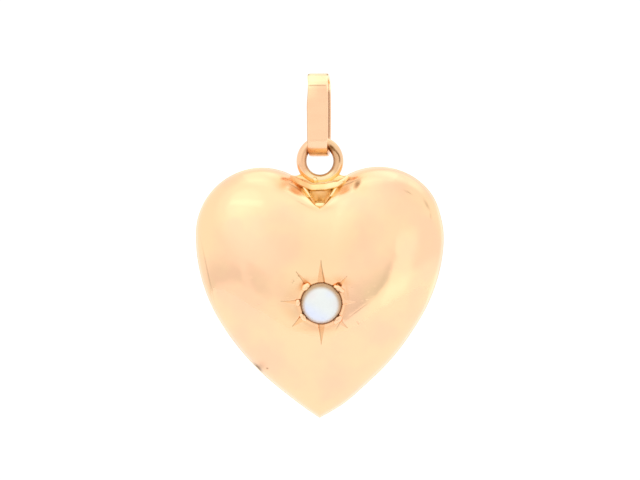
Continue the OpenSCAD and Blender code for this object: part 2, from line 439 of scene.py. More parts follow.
@dataclass(frozen=True)
class PolishedGold:
    """Polished gold with fine polishing lines, soft hand-worked ripples, and tarnish and painted
    shade in its recesses.

    Attributes:
        name: Name of the material.
        tint: Linear colour of the clean metal.
        warm_tint: Linear colour that soft patches turn towards.
        grime_and_shade: Linear colour of the tarnish and painted shade in recesses, by the piece's
            recess attribute.
        painted_reflection: Linear colour of painted reflections of gold in gold, by the piece's amber
            attribute.
        pale: Linear colour of painted highlights, by the piece's pale attribute.
        patch_scale: Scale of the soft patches.
        speckle_scale: Scale of the speckle that breaks up the tarnish and painted shade.
        smudge_scale: Scale of the smudges.
        rough: Roughness of the clean polish.
        rough_spread: How much the roughness rises in smudged patches.
        darkened_rough: How much it rises under full tarnish and painted shade, and under full painted
            reflection.
        brushings: The two directions of the polishing lines.
        line_depth: Depth of the polishing lines, in metres.
        pit_scale: Scale of the fine pits.
        pit_depth: Depth of the fine pits, in metres.
    """

    name: str
    tint: Triple = (0.985, 0.68, 0.4)
    warm_tint: Triple = (0.98, 0.62, 0.395)
    # Colours of the tarnish and painted shade, of the painted reflection and of the painted
    # highlight.
    grime_and_shade: Triple = (0.21, 0.085, 0.02)
    painted_reflection: Triple = (0.88, 0.42, 0.17)
    pale: Triple = (1.0, 0.82, 0.48)
    patch_scale: float = 210.0
    speckle_scale: float = 5200.0
    smudge_scale: float = 520.0
    rough: float = 0.07
    rough_spread: float = 0.06
    darkened_rough: float = 0.25
    brushings: tuple[Brushing, Brushing] = (
        Brushing(0.5, (900.0, 9000.0, 14000.0)),
        Brushing(-0.9, (1100.0, 9000.0, 17000.0)),
    )
    line_depth: float = 1.2e-6
    pit_scale: float = 2600.0
    pit_depth: float = 4.0e-6

    def relief(self, g: Graph, where: bpy.types.NodeSocket) -> bpy.types.NodeSocket:
        """The bump of the fine pits over that of the two brushings, multiplied together.

        Args:
            g: The material's nodes.
            where: Object coordinates.

        Returns:
            The normal.
        """
        brushed = []
        for brushing in self.brushings:
            turn = (0.0, brushing.turn, 0.0)
            values = {"Vector": where, "Rotation": turn, "Scale": brushing.scale}
            brushed.append(g.noise(g.add("ShaderNodeMapping", values).outputs[0], 1.0, 1.0))
        lines = g.bump(g.mathed("MULTIPLY", *brushed), self.line_depth)
        pits = g.ranged(g.noise(where, self.pit_scale, 1.0), 0.7, 0.78, 1.0, 0.0)
        return g.bump(pits, self.pit_depth, over=lines)

    def material(self) -> bpy.types.Material:
        """Builds the material from noise on object coordinates and the piece's attributes.

        Returns:
            The material.
        """
        made = bpy.data.materials.new(self.name)
        made.use_nodes = True
        g = Graph(made.node_tree)
        where = g.add("ShaderNodeTexCoord").outputs["Object"]
        # Painted reflections of gold in gold, by the amber attribute.
        painted_reflection = g.attribute("painted_reflection")
        speckle = g.ranged(g.noise(where, self.speckle_scale, 3.0, 0.6), 0.2, 0.6, 0.75, 1.0)
        # Tarnish and painted shade in recesses, by the recess attribute.
        darkening = g.mathed("MULTIPLY", g.attribute("recess"), speckle, clamp=True)
        patches = g.ranged(g.noise(where, self.patch_scale, 3.0), 0.38, 0.66)
        colour = g.mixed(patches, (*self.tint, 1.0), (*self.warm_tint, 1.0))
        colour = g.mixed(painted_reflection, colour, (*self.painted_reflection, 1.0))
        # Painted highlights, by the pale attribute.
        colour = g.mixed(g.attribute("pale"), colour, (*self.pale, 1.0))
        colour = g.mixed(darkening, colour, (*self.grime_and_shade, 1.0))
        smudges = g.noise(where, self.smudge_scale, 4.0, 0.6)
        rough = g.mathed("ADD", g.ranged(smudges, 0.42, 0.7, 0.0, self.rough_spread), self.rough)
        for share in (darkening, painted_reflection):
            rough = g.added(rough, self.darkened_rough, share)
        values = {
            "Base Color": colour,
            "Roughness": rough,
            "Normal": self.relief(g, where),
            "Metallic": 1.0,
        }
        shader = g.add("ShaderNodeBsdfPrincipled", values)
        g.add("ShaderNodeOutputMaterial", {"Surface": shader.outputs[0]})
        return made


class Finish(Enum):
    """The pendant's finishes of gold."""

    SHELL = PolishedGold("heart_gold")
    SOLDER = PolishedGold(
        "solder_gold", tint=(0.97, 0.76, 0.36), warm_tint=(0.95, 0.66, 0.32), rough=0.28
    )
    SATIN = PolishedGold("satin_gold", rough=0.32)
    STRAP = PolishedGold(
        "strap_gold",
        tint=(0.97, 0.63, 0.39),
        warm_tint=(0.96, 0.6, 0.37),
        rough=0.18,
        line_depth=2.0e-7,
    )


@dataclass(frozen=True)
class Nacre:
    """The pearl's skin: white with faint rose and blue overtones under a soft lustre.

    Attributes:
        name: Name of the material.
        white: Linear colour of the body.
        rose: Linear colour of the warm overtone.
        blue: Linear colour of the cool overtone.
        edge: Linear colour of the skin close to the gold, painted shade and painted reflection of it.
        cloud_scale: Scale of the clouds in the overtones.
        skin_scale: Scale of the skin's fine unevenness.
        skin_depth: Depth of that unevenness, in metres.
        skin_strength: Its strength.
        rough: Roughness below the lustre.
        lustre: Weight of the lustre.
        lustre_rough: Its roughness.
        ior: Refractive index.
    """

    name: str = "pearl_nacre"
    white: Triple = (0.76, 0.79, 0.76)
    rose: Triple = (0.76, 0.67, 0.67)
    blue: Triple = (0.7, 0.75, 0.9)
    # The edge colour is painted shade and painted reflection of the gold.
    edge: Triple = (0.5, 0.34, 0.2)
    cloud_scale: float = 620.0
    skin_scale: float = 3400.0
    skin_depth: float = 2.0e-6
    skin_strength: float = 0.6
    rough: float = 0.32
    lustre: float = 0.5
    lustre_rough: float = 0.12
    ior: float = 1.53

    def material(self) -> bpy.types.Material:
        """Builds the material from attributes for the overtones and fine noise for the skin.

        Returns:
            The material.
        """
        made = bpy.data.materials.new(self.name)
        made.use_nodes = True
        g = Graph(made.node_tree)
        where = g.add("ShaderNodeTexCoord").outputs["Object"]
        cloud = g.ranged(g.noise(where, self.cloud_scale, 2.0), 0.35, 0.65, 0.6, 1.0)
        cool = g.mathed("MULTIPLY", g.attribute("cool"), cloud)
        rosy = g.mathed("MULTIPLY", g.attribute("rosy"), cloud)
        colour = g.mixed(cool, (*self.white, 1.0), (*self.blue, 1.0))
        colour = g.mixed(rosy, colour, (*self.rose, 1.0))
        # Painted shade and painted reflection of the gold on the skin close to it.
        colour = g.mixed(g.attribute("edge"), colour, (*self.edge, 1.0))
        skin = g.noise(where, self.skin_scale, 3.0)
        values = {
            "Base Color": colour,
            "Roughness": self.rough,
            "Normal": g.bump(skin, self.skin_depth, self.skin_strength),
            "Coat Weight": self.lustre,
            "Coat Roughness": self.lustre_rough,
            "IOR": self.ior,
        }
        shader = g.add("ShaderNodeBsdfPrincipled", values)
        g.add("ShaderNodeOutputMaterial", {"Surface": shader.outputs[0]})
        return made


def dress(
    piece: bpy.types.Object, material: bpy.types.Material, body: Body, slot: Slot, *nodes: str
) -> None:
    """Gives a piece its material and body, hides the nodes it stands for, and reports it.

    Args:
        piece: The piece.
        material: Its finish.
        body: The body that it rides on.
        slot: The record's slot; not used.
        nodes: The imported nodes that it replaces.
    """
    piece.data.materials.append(material)
    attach(piece, body.value)
    if nodes:
        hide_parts(*nodes)
    LOG.info("%s: %d faces on %s", piece.name, len(piece.data.polygons), body.value)


@dataclass
class Plan:
    """Sizes of the pendant in millimetres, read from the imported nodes' boxes where they tell them.

    Plan coordinates are x to the right and z up; the face looks towards -Y.
    """

    wall: float = 0.35
    lobe_r: float = 5.8
    fullness: float = 2.4
    eye_r: float = 1.64
    eye_wire_r: float = 0.42
    eye_up: float = 0.55
    bail_t: float = 0.38
    bail_w: float = 1.87
    bail_end_w: float = 1.75
    bail_bend_r: float = 1.1
    bail_turn: float = math.radians(-4.0)
    bore_gap: float = 0.045
    heart_w: float = field(init=False)
    heart_d: float = field(init=False)
    tip_z: float = field(init=False)
    eye_z: float = field(init=False)
    pearl_x: float = field(init=False)
    pearl_y: float = field(init=False)
    pearl_z: float = field(init=False)
    pearl_r: float = field(init=False)
    bail_top_z: float = field(init=False)
    bail_low_z: float = field(init=False)

    def __post_init__(self) -> None:
        """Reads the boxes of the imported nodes."""
        low, high = (np.array(corner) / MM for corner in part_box("heart"))
        self.heart_w = high[0] - low[0]
        self.heart_d = 2.0 * high[1]
        self.tip_z = low[2]
        self.eye_z = high[2] - self.eye_r - self.eye_wire_r
        low, high = (np.array(corner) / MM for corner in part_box("pearl"))
        self.pearl_x, self.pearl_y, self.pearl_z = (low + high) / 2.0
        self.pearl_r = (high[2] - low[2]) / 2.0
        low, high = (np.array(corner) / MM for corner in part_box("bail"))
        self.bail_low_z, self.bail_top_z = low[2], high[2]

    @property
    def lobe_top_z(self) -> float:
        """Height of the tops of the lobes."""
        return self.eye_z - self.eye_up

    @property
    def face_y(self) -> float:
        """Depth of the heart's face at its fullest."""
        return -self.heart_d / 2.0

    @property
    def bore_r(self) -> float:
        """Radius of the bore that takes the pearl."""
        return self.pearl_r + self.bore_gap


@dataclass
class HeartForm:
    """The puffed heart's form: an outline of arcs and a dome of level curves over it.

    Half of the outline is a lobe arc, a longer side arc and a flank arc, each tangent to the
    next. Level curves of the dome bridge the cleft and cut the tip's corner short, and turn
    into the true outline towards the seam. Plan points are about the pearl's height on the
    middle line.

    Attributes:
        plan: The pendant's sizes.
        side_share: Radius of the side arc as a share of the width.
        flank_share: Radius of the flank arc as a share of the width.
        bridge_share: Height of the bridge over the cleft as a share of the lobes' height.
        bridge_soft: How softly the bridge meets the lobes.
        tip_share: Height of the cut across the tip as a share of the tip's.
        tip_soft: How softly the cut meets the flanks.
        ease_at: Sines of the directions where bridge and cut come in.
        least_rise: Least sine that the bridge and the cut are worked out for.
        corner_from: Level of the curve where they begin to turn into the true outline.
        uneven: How far the outline swells in some directions, as in hand work.
    """

    plan: Plan
    side_share: float = 0.665
    flank_share: float = 1.18
    bridge_share: float = 0.925
    bridge_soft: float = 0.6
    tip_share: float = 0.87
    tip_soft: float = 0.9
    ease_at: Ramp = Ramp(0.85, 0.97)
    least_rise: float = 0.3
    corner_from: float = 0.7
    uneven: tuple[Arc, ...] = (
        Arc(math.radians(132.0), math.radians(24.0), -0.16),
        Arc(math.radians(35.0), math.radians(6.0), -0.13),
        Arc(math.radians(-38.0), math.radians(20.0), 0.07),
        Arc(math.radians(-76.0), math.radians(11.0), 0.13),
        Arc(math.radians(-108.0), math.radians(14.0), -0.08),
        Arc(math.radians(-160.0), math.radians(24.0), 0.07),
    )

    def __post_init__(self) -> None:
        """Works out the arcs' centres and the directions where one arc takes over from the next."""
        plan = self.plan
        half_w = plan.heart_w / 2.0
        self.side_r = self.side_share * plan.heart_w
        self.flank_r = self.flank_share * plan.heart_w
        self.top = plan.lobe_top_z - plan.pearl_z
        self.tip = plan.pearl_z - plan.tip_z
        self.lobe_c = (half_w - plan.lobe_r, self.top - plan.lobe_r)
        self.side_c = (half_w - self.side_r, self.lobe_c[1])
        to_tip = np.array([0.0, -self.tip]) - self.side_c
        far = float(np.linalg.norm(to_tip))
        unit = to_tip / far
        along = ((self.flank_r - self.side_r) ** 2 - self.flank_r**2 + far**2) / (2.0 * far)
        off = math.sqrt((self.flank_r - self.side_r) ** 2 - along**2)
        flank = np.array(self.side_c) + unit * along + np.array([unit[1], -unit[0]]) * off
        self.flank_c = (float(flank[0]), float(flank[1]))
        outward = (np.array(self.side_c) - flank) / np.linalg.norm(np.array(self.side_c) - flank)
        side_end = np.array(self.side_c) + outward * self.side_r
        self.lobe_from = math.atan2(self.lobe_c[1], half_w)
        self.side_from = math.atan2(side_end[1], side_end[0])

    def outline_reach(self, a: np.ndarray, inset: float = 0.0) -> np.ndarray:
        """Reach of the outline: of the arc that holds in each direction, and its swell.

        Args:
            a: Directions in radians.
            inset: How far every arc is drawn in.

        Returns:
            The reach for each direction.
        """
        ux, uz = np.abs(np.cos(a)), np.sin(a)
        turn = np.arctan2(uz, ux)
        lobe = far_hit(ux, uz, self.lobe_c, self.plan.lobe_r - inset)
        side = far_hit(ux, uz, self.side_c, self.side_r - inset)
        flank = far_hit(ux, uz, self.flank_c, self.flank_r - inset)
        below = np.where(turn > self.side_from, side, flank)
        return np.where(turn > self.lobe_from, lobe, below) + sum(arc.at(a) for arc in self.uneven)

    def eased_reach(self, a: np.ndarray, inset: float = 0.0) -> np.ndarray:
        """The same reach with its corners eased.

        The formula: near the cleft the soft maximum of the outline and a level bridge over
        it, and near the tip the soft minimum of the outline and a level cut across it.

        Args:
            a: Directions in radians.
            inset: How far the form is drawn in.

        Returns:
            The reach for each direction.
        """
        edge = self.outline_reach(a, inset)
        rise = np.sin(a)
        safe = np.where(np.abs(rise) < self.least_rise, self.least_rise, rise)
        bridged = soft_max(edge, (self.bridge_share * self.top - inset) / safe, self.bridge_soft)
        cut = soft_max(-edge, (self.tip_share * self.tip - inset) / safe, self.tip_soft)
        near_cleft, near_tip = self.ease_at.at(rise), self.ease_at.at(-rise)
        return edge + near_cleft * (bridged - edge) - near_tip * (edge + cut)

    def dome(
        self, a: np.ndarray, level: np.ndarray, inset: float = 0.0
    ) -> tuple[np.ndarray, np.ndarray, np.ndarray]:
        """Plan point and height of the dome in direction a at a level from 0 to 1.

        The formula: the reach is the level times the eased outline, turning into the true
        one above corner_from, and the height is half the depth times
        sqrt(1 - level^fullness).

        Args:
            a: Directions in radians.
            level: Level of the curve, 1 at the seam.
            inset: How far the form is drawn in.

        Returns:
            x and z about the plan's centre, and the height above the seam's plane.
        """
        eased = self.eased_reach(a, inset)
        corner = smooth_step((level - self.corner_from) / (1.0 - self.corner_from))
        reach = level * (eased + corner * (self.outline_reach(a, inset) - eased))
        fall = np.sqrt(np.maximum(0.0, 1.0 - level**self.plan.fullness))
        return reach * np.cos(a), reach * np.sin(a), (self.plan.heart_d / 2.0 - inset) * fall

    def from_pearl(
        self, turn: np.ndarray, level: np.ndarray, inset: float = 0.0
    ) -> tuple[np.ndarray, np.ndarray, np.ndarray]:
        """The dome's point that lies in direction turn from the pearl's centre, at a level.

        The plan's centre lies beside the pearl's, so the direction from it is turn less
        asin(offset * sin(turn) / reach), which a few rounds settle.

        Args:
            turn: Directions from the pearl's centre in radians.
            level: Level of the curve.
            inset: How far the form is drawn in.

        Returns:
            x and z about the plan's centre, and the height above the seam's plane.
        """
        a = turn
        for _ in range(4):
            x, z, high = self.dome(a, level, inset)
            reach = np.maximum(np.hypot(x, z), 0.5)
            a = turn - np.arcsin(np.clip(self.plan.pearl_x * np.sin(turn) / reach, -0.9, 0.9))
        return x, z, high

    def level_at(self, turn: np.ndarray, out: np.ndarray, inset: float = 0.0) -> np.ndarray:
        """Level of the dome at a distance from the pearl's centre, inside corner_from.

        Args:
            turn: Directions from the pearl's centre in radians.
            out: The distances.
            inset: How far the form is drawn in.

        Returns:
            The level: the distance from the plan's centre as a share of the eased reach.
        """
        x = self.plan.pearl_x + out * np.cos(turn)
        z = out * np.sin(turn)
        return np.hypot(x, z) / self.eased_reach(np.arctan2(z, x), inset)


@dataclass(frozen=True)
class Ray:
    """One engraved ray.

    Attributes:
        turn: Direction in degrees.
        reach: Distance of its tip from the pearl's centre.
        width: Width at the bore.
        lean: Where its bottom lies across its width, from -1 clockwise to 1.
        root: Extra depth close to the bore, behind a raised grain.
        darkening: How much of the rays' painted shade and painted reflection it has.
    """

    turn: float
    reach: float
    width: float
    lean: float = -0.55
    root: float = 0.0
    darkening: float = 1.0


@dataclass(frozen=True)
class Dent:
    """One soft dent, pit, scratch or dark mark on the plan about the pearl's centre.

    Attributes:
        x: Its middle.
        z: Its middle.
        long: Half length.
        short: Half width.
        turn: Direction of its length in degrees.
        depth: Depth.
        darkening: Share of tarnish and painted shade in it.
        painted_reflection: Share of painted reflection of gold in gold in it, below 0 for a painted
            highlight.
    """

    x: float
    z: float
    long: float
    short: float
    turn: float
    depth: float
    darkening: float = 0.0
    painted_reflection: float = 0.0

    def at(self, x: np.ndarray, z: np.ndarray) -> np.ndarray:
        """How much of it is at a point: a bell of the distance in half lengths and half widths.

        Args:
            x: Plan x about the pearl's centre.
            z: Plan z about the pearl's centre.

        Returns:
            The share, 1 in its middle.
        """
        c, s = math.cos(math.radians(self.turn)), math.sin(math.radians(self.turn))
        along = (x - self.x) * c + (z - self.z) * s
        across = (z - self.z) * c - (x - self.x) * s
        return bell(np.hypot(along / self.long, across / self.short), 1.0)


@dataclass
class StarFace:
    """Relief of the heart's face: engraved rays, the bore's lip, dents, pits and scratches.

    Attributes:
        plan: The pendant's sizes.
        ray_slope: Half width of a ray for each millimetre of its depth.
        root_at: Where a ray's extra depth lies, by the distance from the bore.
        ray_line: Painted shade across a ray's bottom line.
        facet_shade: Painted shade on the wider facet.
        facet_amber: Painted reflection of gold in gold on the wider facet.
        facet_soft: Share of a facet over which these come in at its outer edge.
        lip_at: Height of the lip pushed up round the bore, by the distance from it.
        lip_even: Share of its height that is the same all round.
        lip_beats: Waves by direction whose product makes the rest of it uneven.
        ripples: Soft unevenness of the hand-raised sheet.
        rays: The rays.
        dents: The dents, pits, scratches and dark marks, with their painted shade, reflections and
            highlights.
    """

    plan: Plan
    ray_slope: float = 2.2
    root_at: Hump = Hump(0.2, 0.3)
    # Painted shade and painted reflection in the rays.
    ray_line: Hump = Hump(0.0, 0.03, 0.5)
    facet_shade: float = 0.09
    facet_amber: float = 0.5
    facet_soft: float = 0.12
    lip_at: Hump = Hump(0.04, 0.085, 0.06)
    lip_even: float = 0.55
    lip_beats: tuple[Wave, Wave] = (Wave(1.0, 3.0, start=0.7), Wave(1.0, 5.0, start=2.1))
    ripples: tuple[Wave, ...] = (
        Wave(0.006, 0.85, 0.35, 0.8),
        Wave(0.0048, -0.5, 0.95, 2.2),
        Wave(0.003, 1.7, -0.9, 4.0),
        Wave(0.0015, 2.4, 2.0, 1.1),
        Wave(0.0006, 3.7, 4.7, 0.371),
        Wave(0.0006, 5.5, -2.1, 0.629),
    )
    rays: tuple[Ray, ...] = (
        Ray(2.5, 3.1, 0.5, darkening=0.35),
        Ray(46.5, 3.3, 0.85, 0.2, 0.1, 0.7),
        Ray(90.5, 3.8, 0.76, -0.6, darkening=1.15),
        Ray(128.5, 3.55, 0.8, 0.3, 0.1),
        Ray(177.0, 3.55, 0.62, darkening=0.8),
        Ray(218.5, 3.3, 0.8, -0.8, 0.04),
        Ray(270.0, 3.65, 0.7),
        Ray(317.0, 3.2, 0.72, 0.4, 0.05, 0.5),
    )
    # Some of these paint light: the thin dark lines beside the cleft and the gusset are painted
    # shade, the orange in the hollows beside the cleft and on the face is painted reflection of gold
    # in gold, and its shares below 0 are painted highlights.
    dents: tuple[Dent, ...] = (
        Dent(-2.43, 1.96, 0.06, 0.06, 0.0, 0.05, 0.7),
        Dent(-2.53, 1.80, 0.05, 0.05, 0.0, 0.04, 0.6),
        Dent(-2.02, 2.42, 0.08, 0.05, -40.0, 0.05, 0.6),
        Dent(1.62, 1.61, 0.17, 0.11, -35.0, 0.16, 0.95),
        Dent(1.64, -1.14, 0.09, 0.07, 0.0, 0.08, 0.8),
        Dent(-1.62, -0.78, 0.12, 0.07, 60.0, 0.07, 0.75),
        Dent(-5.5, -5.75, 0.55, 0.38, 40.0, 0.09, 0.35),
        Dent(-5.66, -5.78, 0.56, 0.15, -48.0, 0.06, 0.95),
        Dent(-4.78, -5.8, 0.09, 0.07, 0.0, 0.05, 0.8),
        Dent(3.2, -1.72, 0.14, 0.05, -45.0, 0.02, 0.25),
        Dent(-2.45, 10.1, 0.85, 0.36, -29.0, 0.15),
        Dent(2.05, 10.05, 0.9, 0.36, 29.0, 0.17),
        Dent(3.2, 10.6, 0.32, 0.2, 60.0, 0.1, 0.65),
        Dent(-2.2, 10.05, 0.8, 0.36, -29.0, 0.0, 0.12, 0.95),
        Dent(2.0, 10.1, 0.8, 0.36, 29.0, 0.0, 0.12, 0.95),
        Dent(-3.3, 10.95, 0.9, 0.45, -20.0, 0.0, 0.04, 0.4),
        Dent(3.1, 11.0, 0.9, 0.4, 20.0, 0.0, 0.04, 0.4),
        Dent(-2.25, 10.22, 0.72, 0.045, -30.0, 0.02, 0.45),
        Dent(2.5, 10.62, 0.9, 0.05, 22.0, 0.02, 0.5),
        Dent(1.75, 1.95, 0.8, 0.38, -15.0, 0.0, 0.0, 0.5),
        Dent(2.3, 0.9, 0.7, 0.12, 100.0, 0.0, 0.0, 0.4),
        Dent(-1.55, 1.62, 0.55, 0.3, 50.0, 0.02, 0.06, 1.0),
        Dent(3.23, -0.62, 1.0, 0.05, 37.0, 0.002, 0.3),
        Dent(-2.5, 0.8, 0.9, 0.55, 40.0, 0.0, 0.0, 0.2),
        Dent(-2.6, -0.85, 0.8, 0.45, -30.0, 0.0, 0.0, 0.22),
        Dent(-0.3, -2.2, 1.9, 0.3, 0.0, 0.0, 0.0, 0.28),
        Dent(1.62, -1.68, 0.5, 0.04, 59.0, 0.025, 0.45),
        Dent(-1.62, 8.75, 0.62, 0.05, -28.0, 0.02, 0.3),
        Dent(7.68, 9.8, 0.36, 0.06, -30.0, 0.03, 0.4),
        Dent(9.35, 8.7, 0.5, 0.11, -62.0, 0.03, 0.35),
        Dent(9.69, 7.7, 0.25, 0.05, -85.0, 0.02, 0.3),
        Dent(-10.05, 2.7, 1.9, 0.05, 102.5, 0.02, 0.35),
        Dent(-3.35, 10.3, 0.5, 0.42, 0.0, 0.03, 0.0, 0.5),
        Dent(-2.95, 10.25, 0.2, 0.16, -30.0, 0.0, 0.0, -0.5),
        Dent(-2.2, 9.75, 0.6, 0.22, -29.0, 0.02, 0.0, 0.5),
        Dent(-3.95, 10.6, 0.8, 0.5, -20.0, 0.0, 0.02, 0.2),
        Dent(3.05, 10.3, 0.32, 0.2, 75.0, 0.04, 0.3, 0.4),
        Dent(2.6, 10.2, 0.16, 0.14, 0.0, 0.0, 0.0, -0.5),
        Dent(3.6, 10.25, 0.5, 0.4, 0.0, 0.0, 0.0, 0.15),
        Dent(-0.1, 8.5, 1.0, 0.35, 0.0, 0.0, 0.0, 0.4),
    )

    def cut(
        self, turn: np.ndarray, out: np.ndarray
    ) -> tuple[np.ndarray, np.ndarray, np.ndarray]:
        """Depth engraved at a direction and distance from the pearl's centre, with painted shade and
        reflection.

        The formula: a ray's half width falls evenly from the bore to its tip. Across it the
        depth rises evenly from one edge to its bottom line and falls evenly to the other
        edge, and the bottom line lies lean half widths to the side. Painted shade lies along it,
        and the wider of the two facets has painted shade and a painted reflection of gold in gold.

        Args:
            turn: Directions in radians.
            out: Distances in millimetres.

        Returns:
            The depth, the grime and the heat stain, 0 outside the rays.
        """
        deep, grime_and_shade, painted_reflection = np.zeros_like(out), np.zeros_like(out), np.zeros_like(out)
        past = out - self.plan.bore_r
        for ray in self.rays:
            off = wrapped(turn - math.radians(ray.turn))
            side = out * np.sin(off)
            ahead = out * np.cos(off)
            share = (ray.reach - ahead) / (ray.reach - self.plan.bore_r)
            half = np.maximum(ray.width / 2.0 * share, 1e-6)
            place = side / half
            across = np.minimum((place + 1.0) / (1.0 + ray.lean), (1.0 - place) / (1.0 - ray.lean))
            across = np.clip(across, 0.0, 1.0)
            groove = (half / self.ray_slope + ray.root * self.root_at.at(past)) * across
            inside = (share > 0.0) & (ahead > 0.0)
            deep = np.maximum(deep, np.where(inside, groove, 0.0))
            from_line = side - ray.lean * half
            wider = smooth_step(across / self.facet_soft) * (from_line * ray.lean < 0.0)
            # Painted shade along the bottom line and on the wider facet.
            painted_shade = self.ray_line.at(from_line) + self.facet_shade * wider
            grime_and_shade = np.maximum(grime_and_shade, np.where(inside, ray.darkening * painted_shade, 0.0))
            # Painted reflection of gold in gold on the wider facet.
            reflected = ray.darkening * self.facet_amber * wider
            painted_reflection = np.maximum(painted_reflection, np.where(inside, reflected, 0.0))
        return deep, grime_and_shade, painted_reflection

    def lip(self, turn: np.ndarray, out: np.ndarray) -> np.ndarray:
        """Height of the thin raised lip of metal pushed up round the bore.

        The formula: a bell across the lip, times lip_even plus what is left of 1 times the
        product of the beats.

        Args:
            turn: Directions in radians.
            out: Distances in millimetres.

        Returns:
            The height in millimetres.
        """
        beats = self.lip_beats[0].at(turn) * self.lip_beats[1].at(turn)
        uneven = self.lip_even + (1.0 - self.lip_even) * beats
        return uneven * self.lip_at.at(out - self.plan.bore_r)

    def relief(
        self, turn: np.ndarray, x: np.ndarray, z: np.ndarray
    ) -> tuple[np.ndarray, np.ndarray, np.ndarray]:
        """Height added to the face, the share of tarnish and painted shade, and that of painted
        reflection.

        Args:
            turn: Directions from the pearl's centre.
            x: Plan x about the plan's centre.
            z: Plan z about the plan's centre.

        Returns:
            The height in millimetres, below 0 where metal is cut away, the tarnish and painted shade,
            and the painted reflection.
        """
        px = x - self.plan.pearl_x
        out = np.hypot(px, z)
        deep, grime_and_shade, painted_reflection = self.cut(turn, out)
        high = self.lip(turn, out) - deep + wavy(self.ripples, x, z)
        for dent in self.dents:
            share = dent.at(px, z)
            high = high - dent.depth * share
            # A dent's darkening, partly painted shade, and its painted reflection, below 0 a painted
            # highlight.
            grime_and_shade = grime_and_shade + dent.darkening * share
            painted_reflection = painted_reflection + dent.painted_reflection * share
        return high, np.clip(grime_and_shade, 0.0, 1.0), np.clip(painted_reflection, 0.0, 1.0)


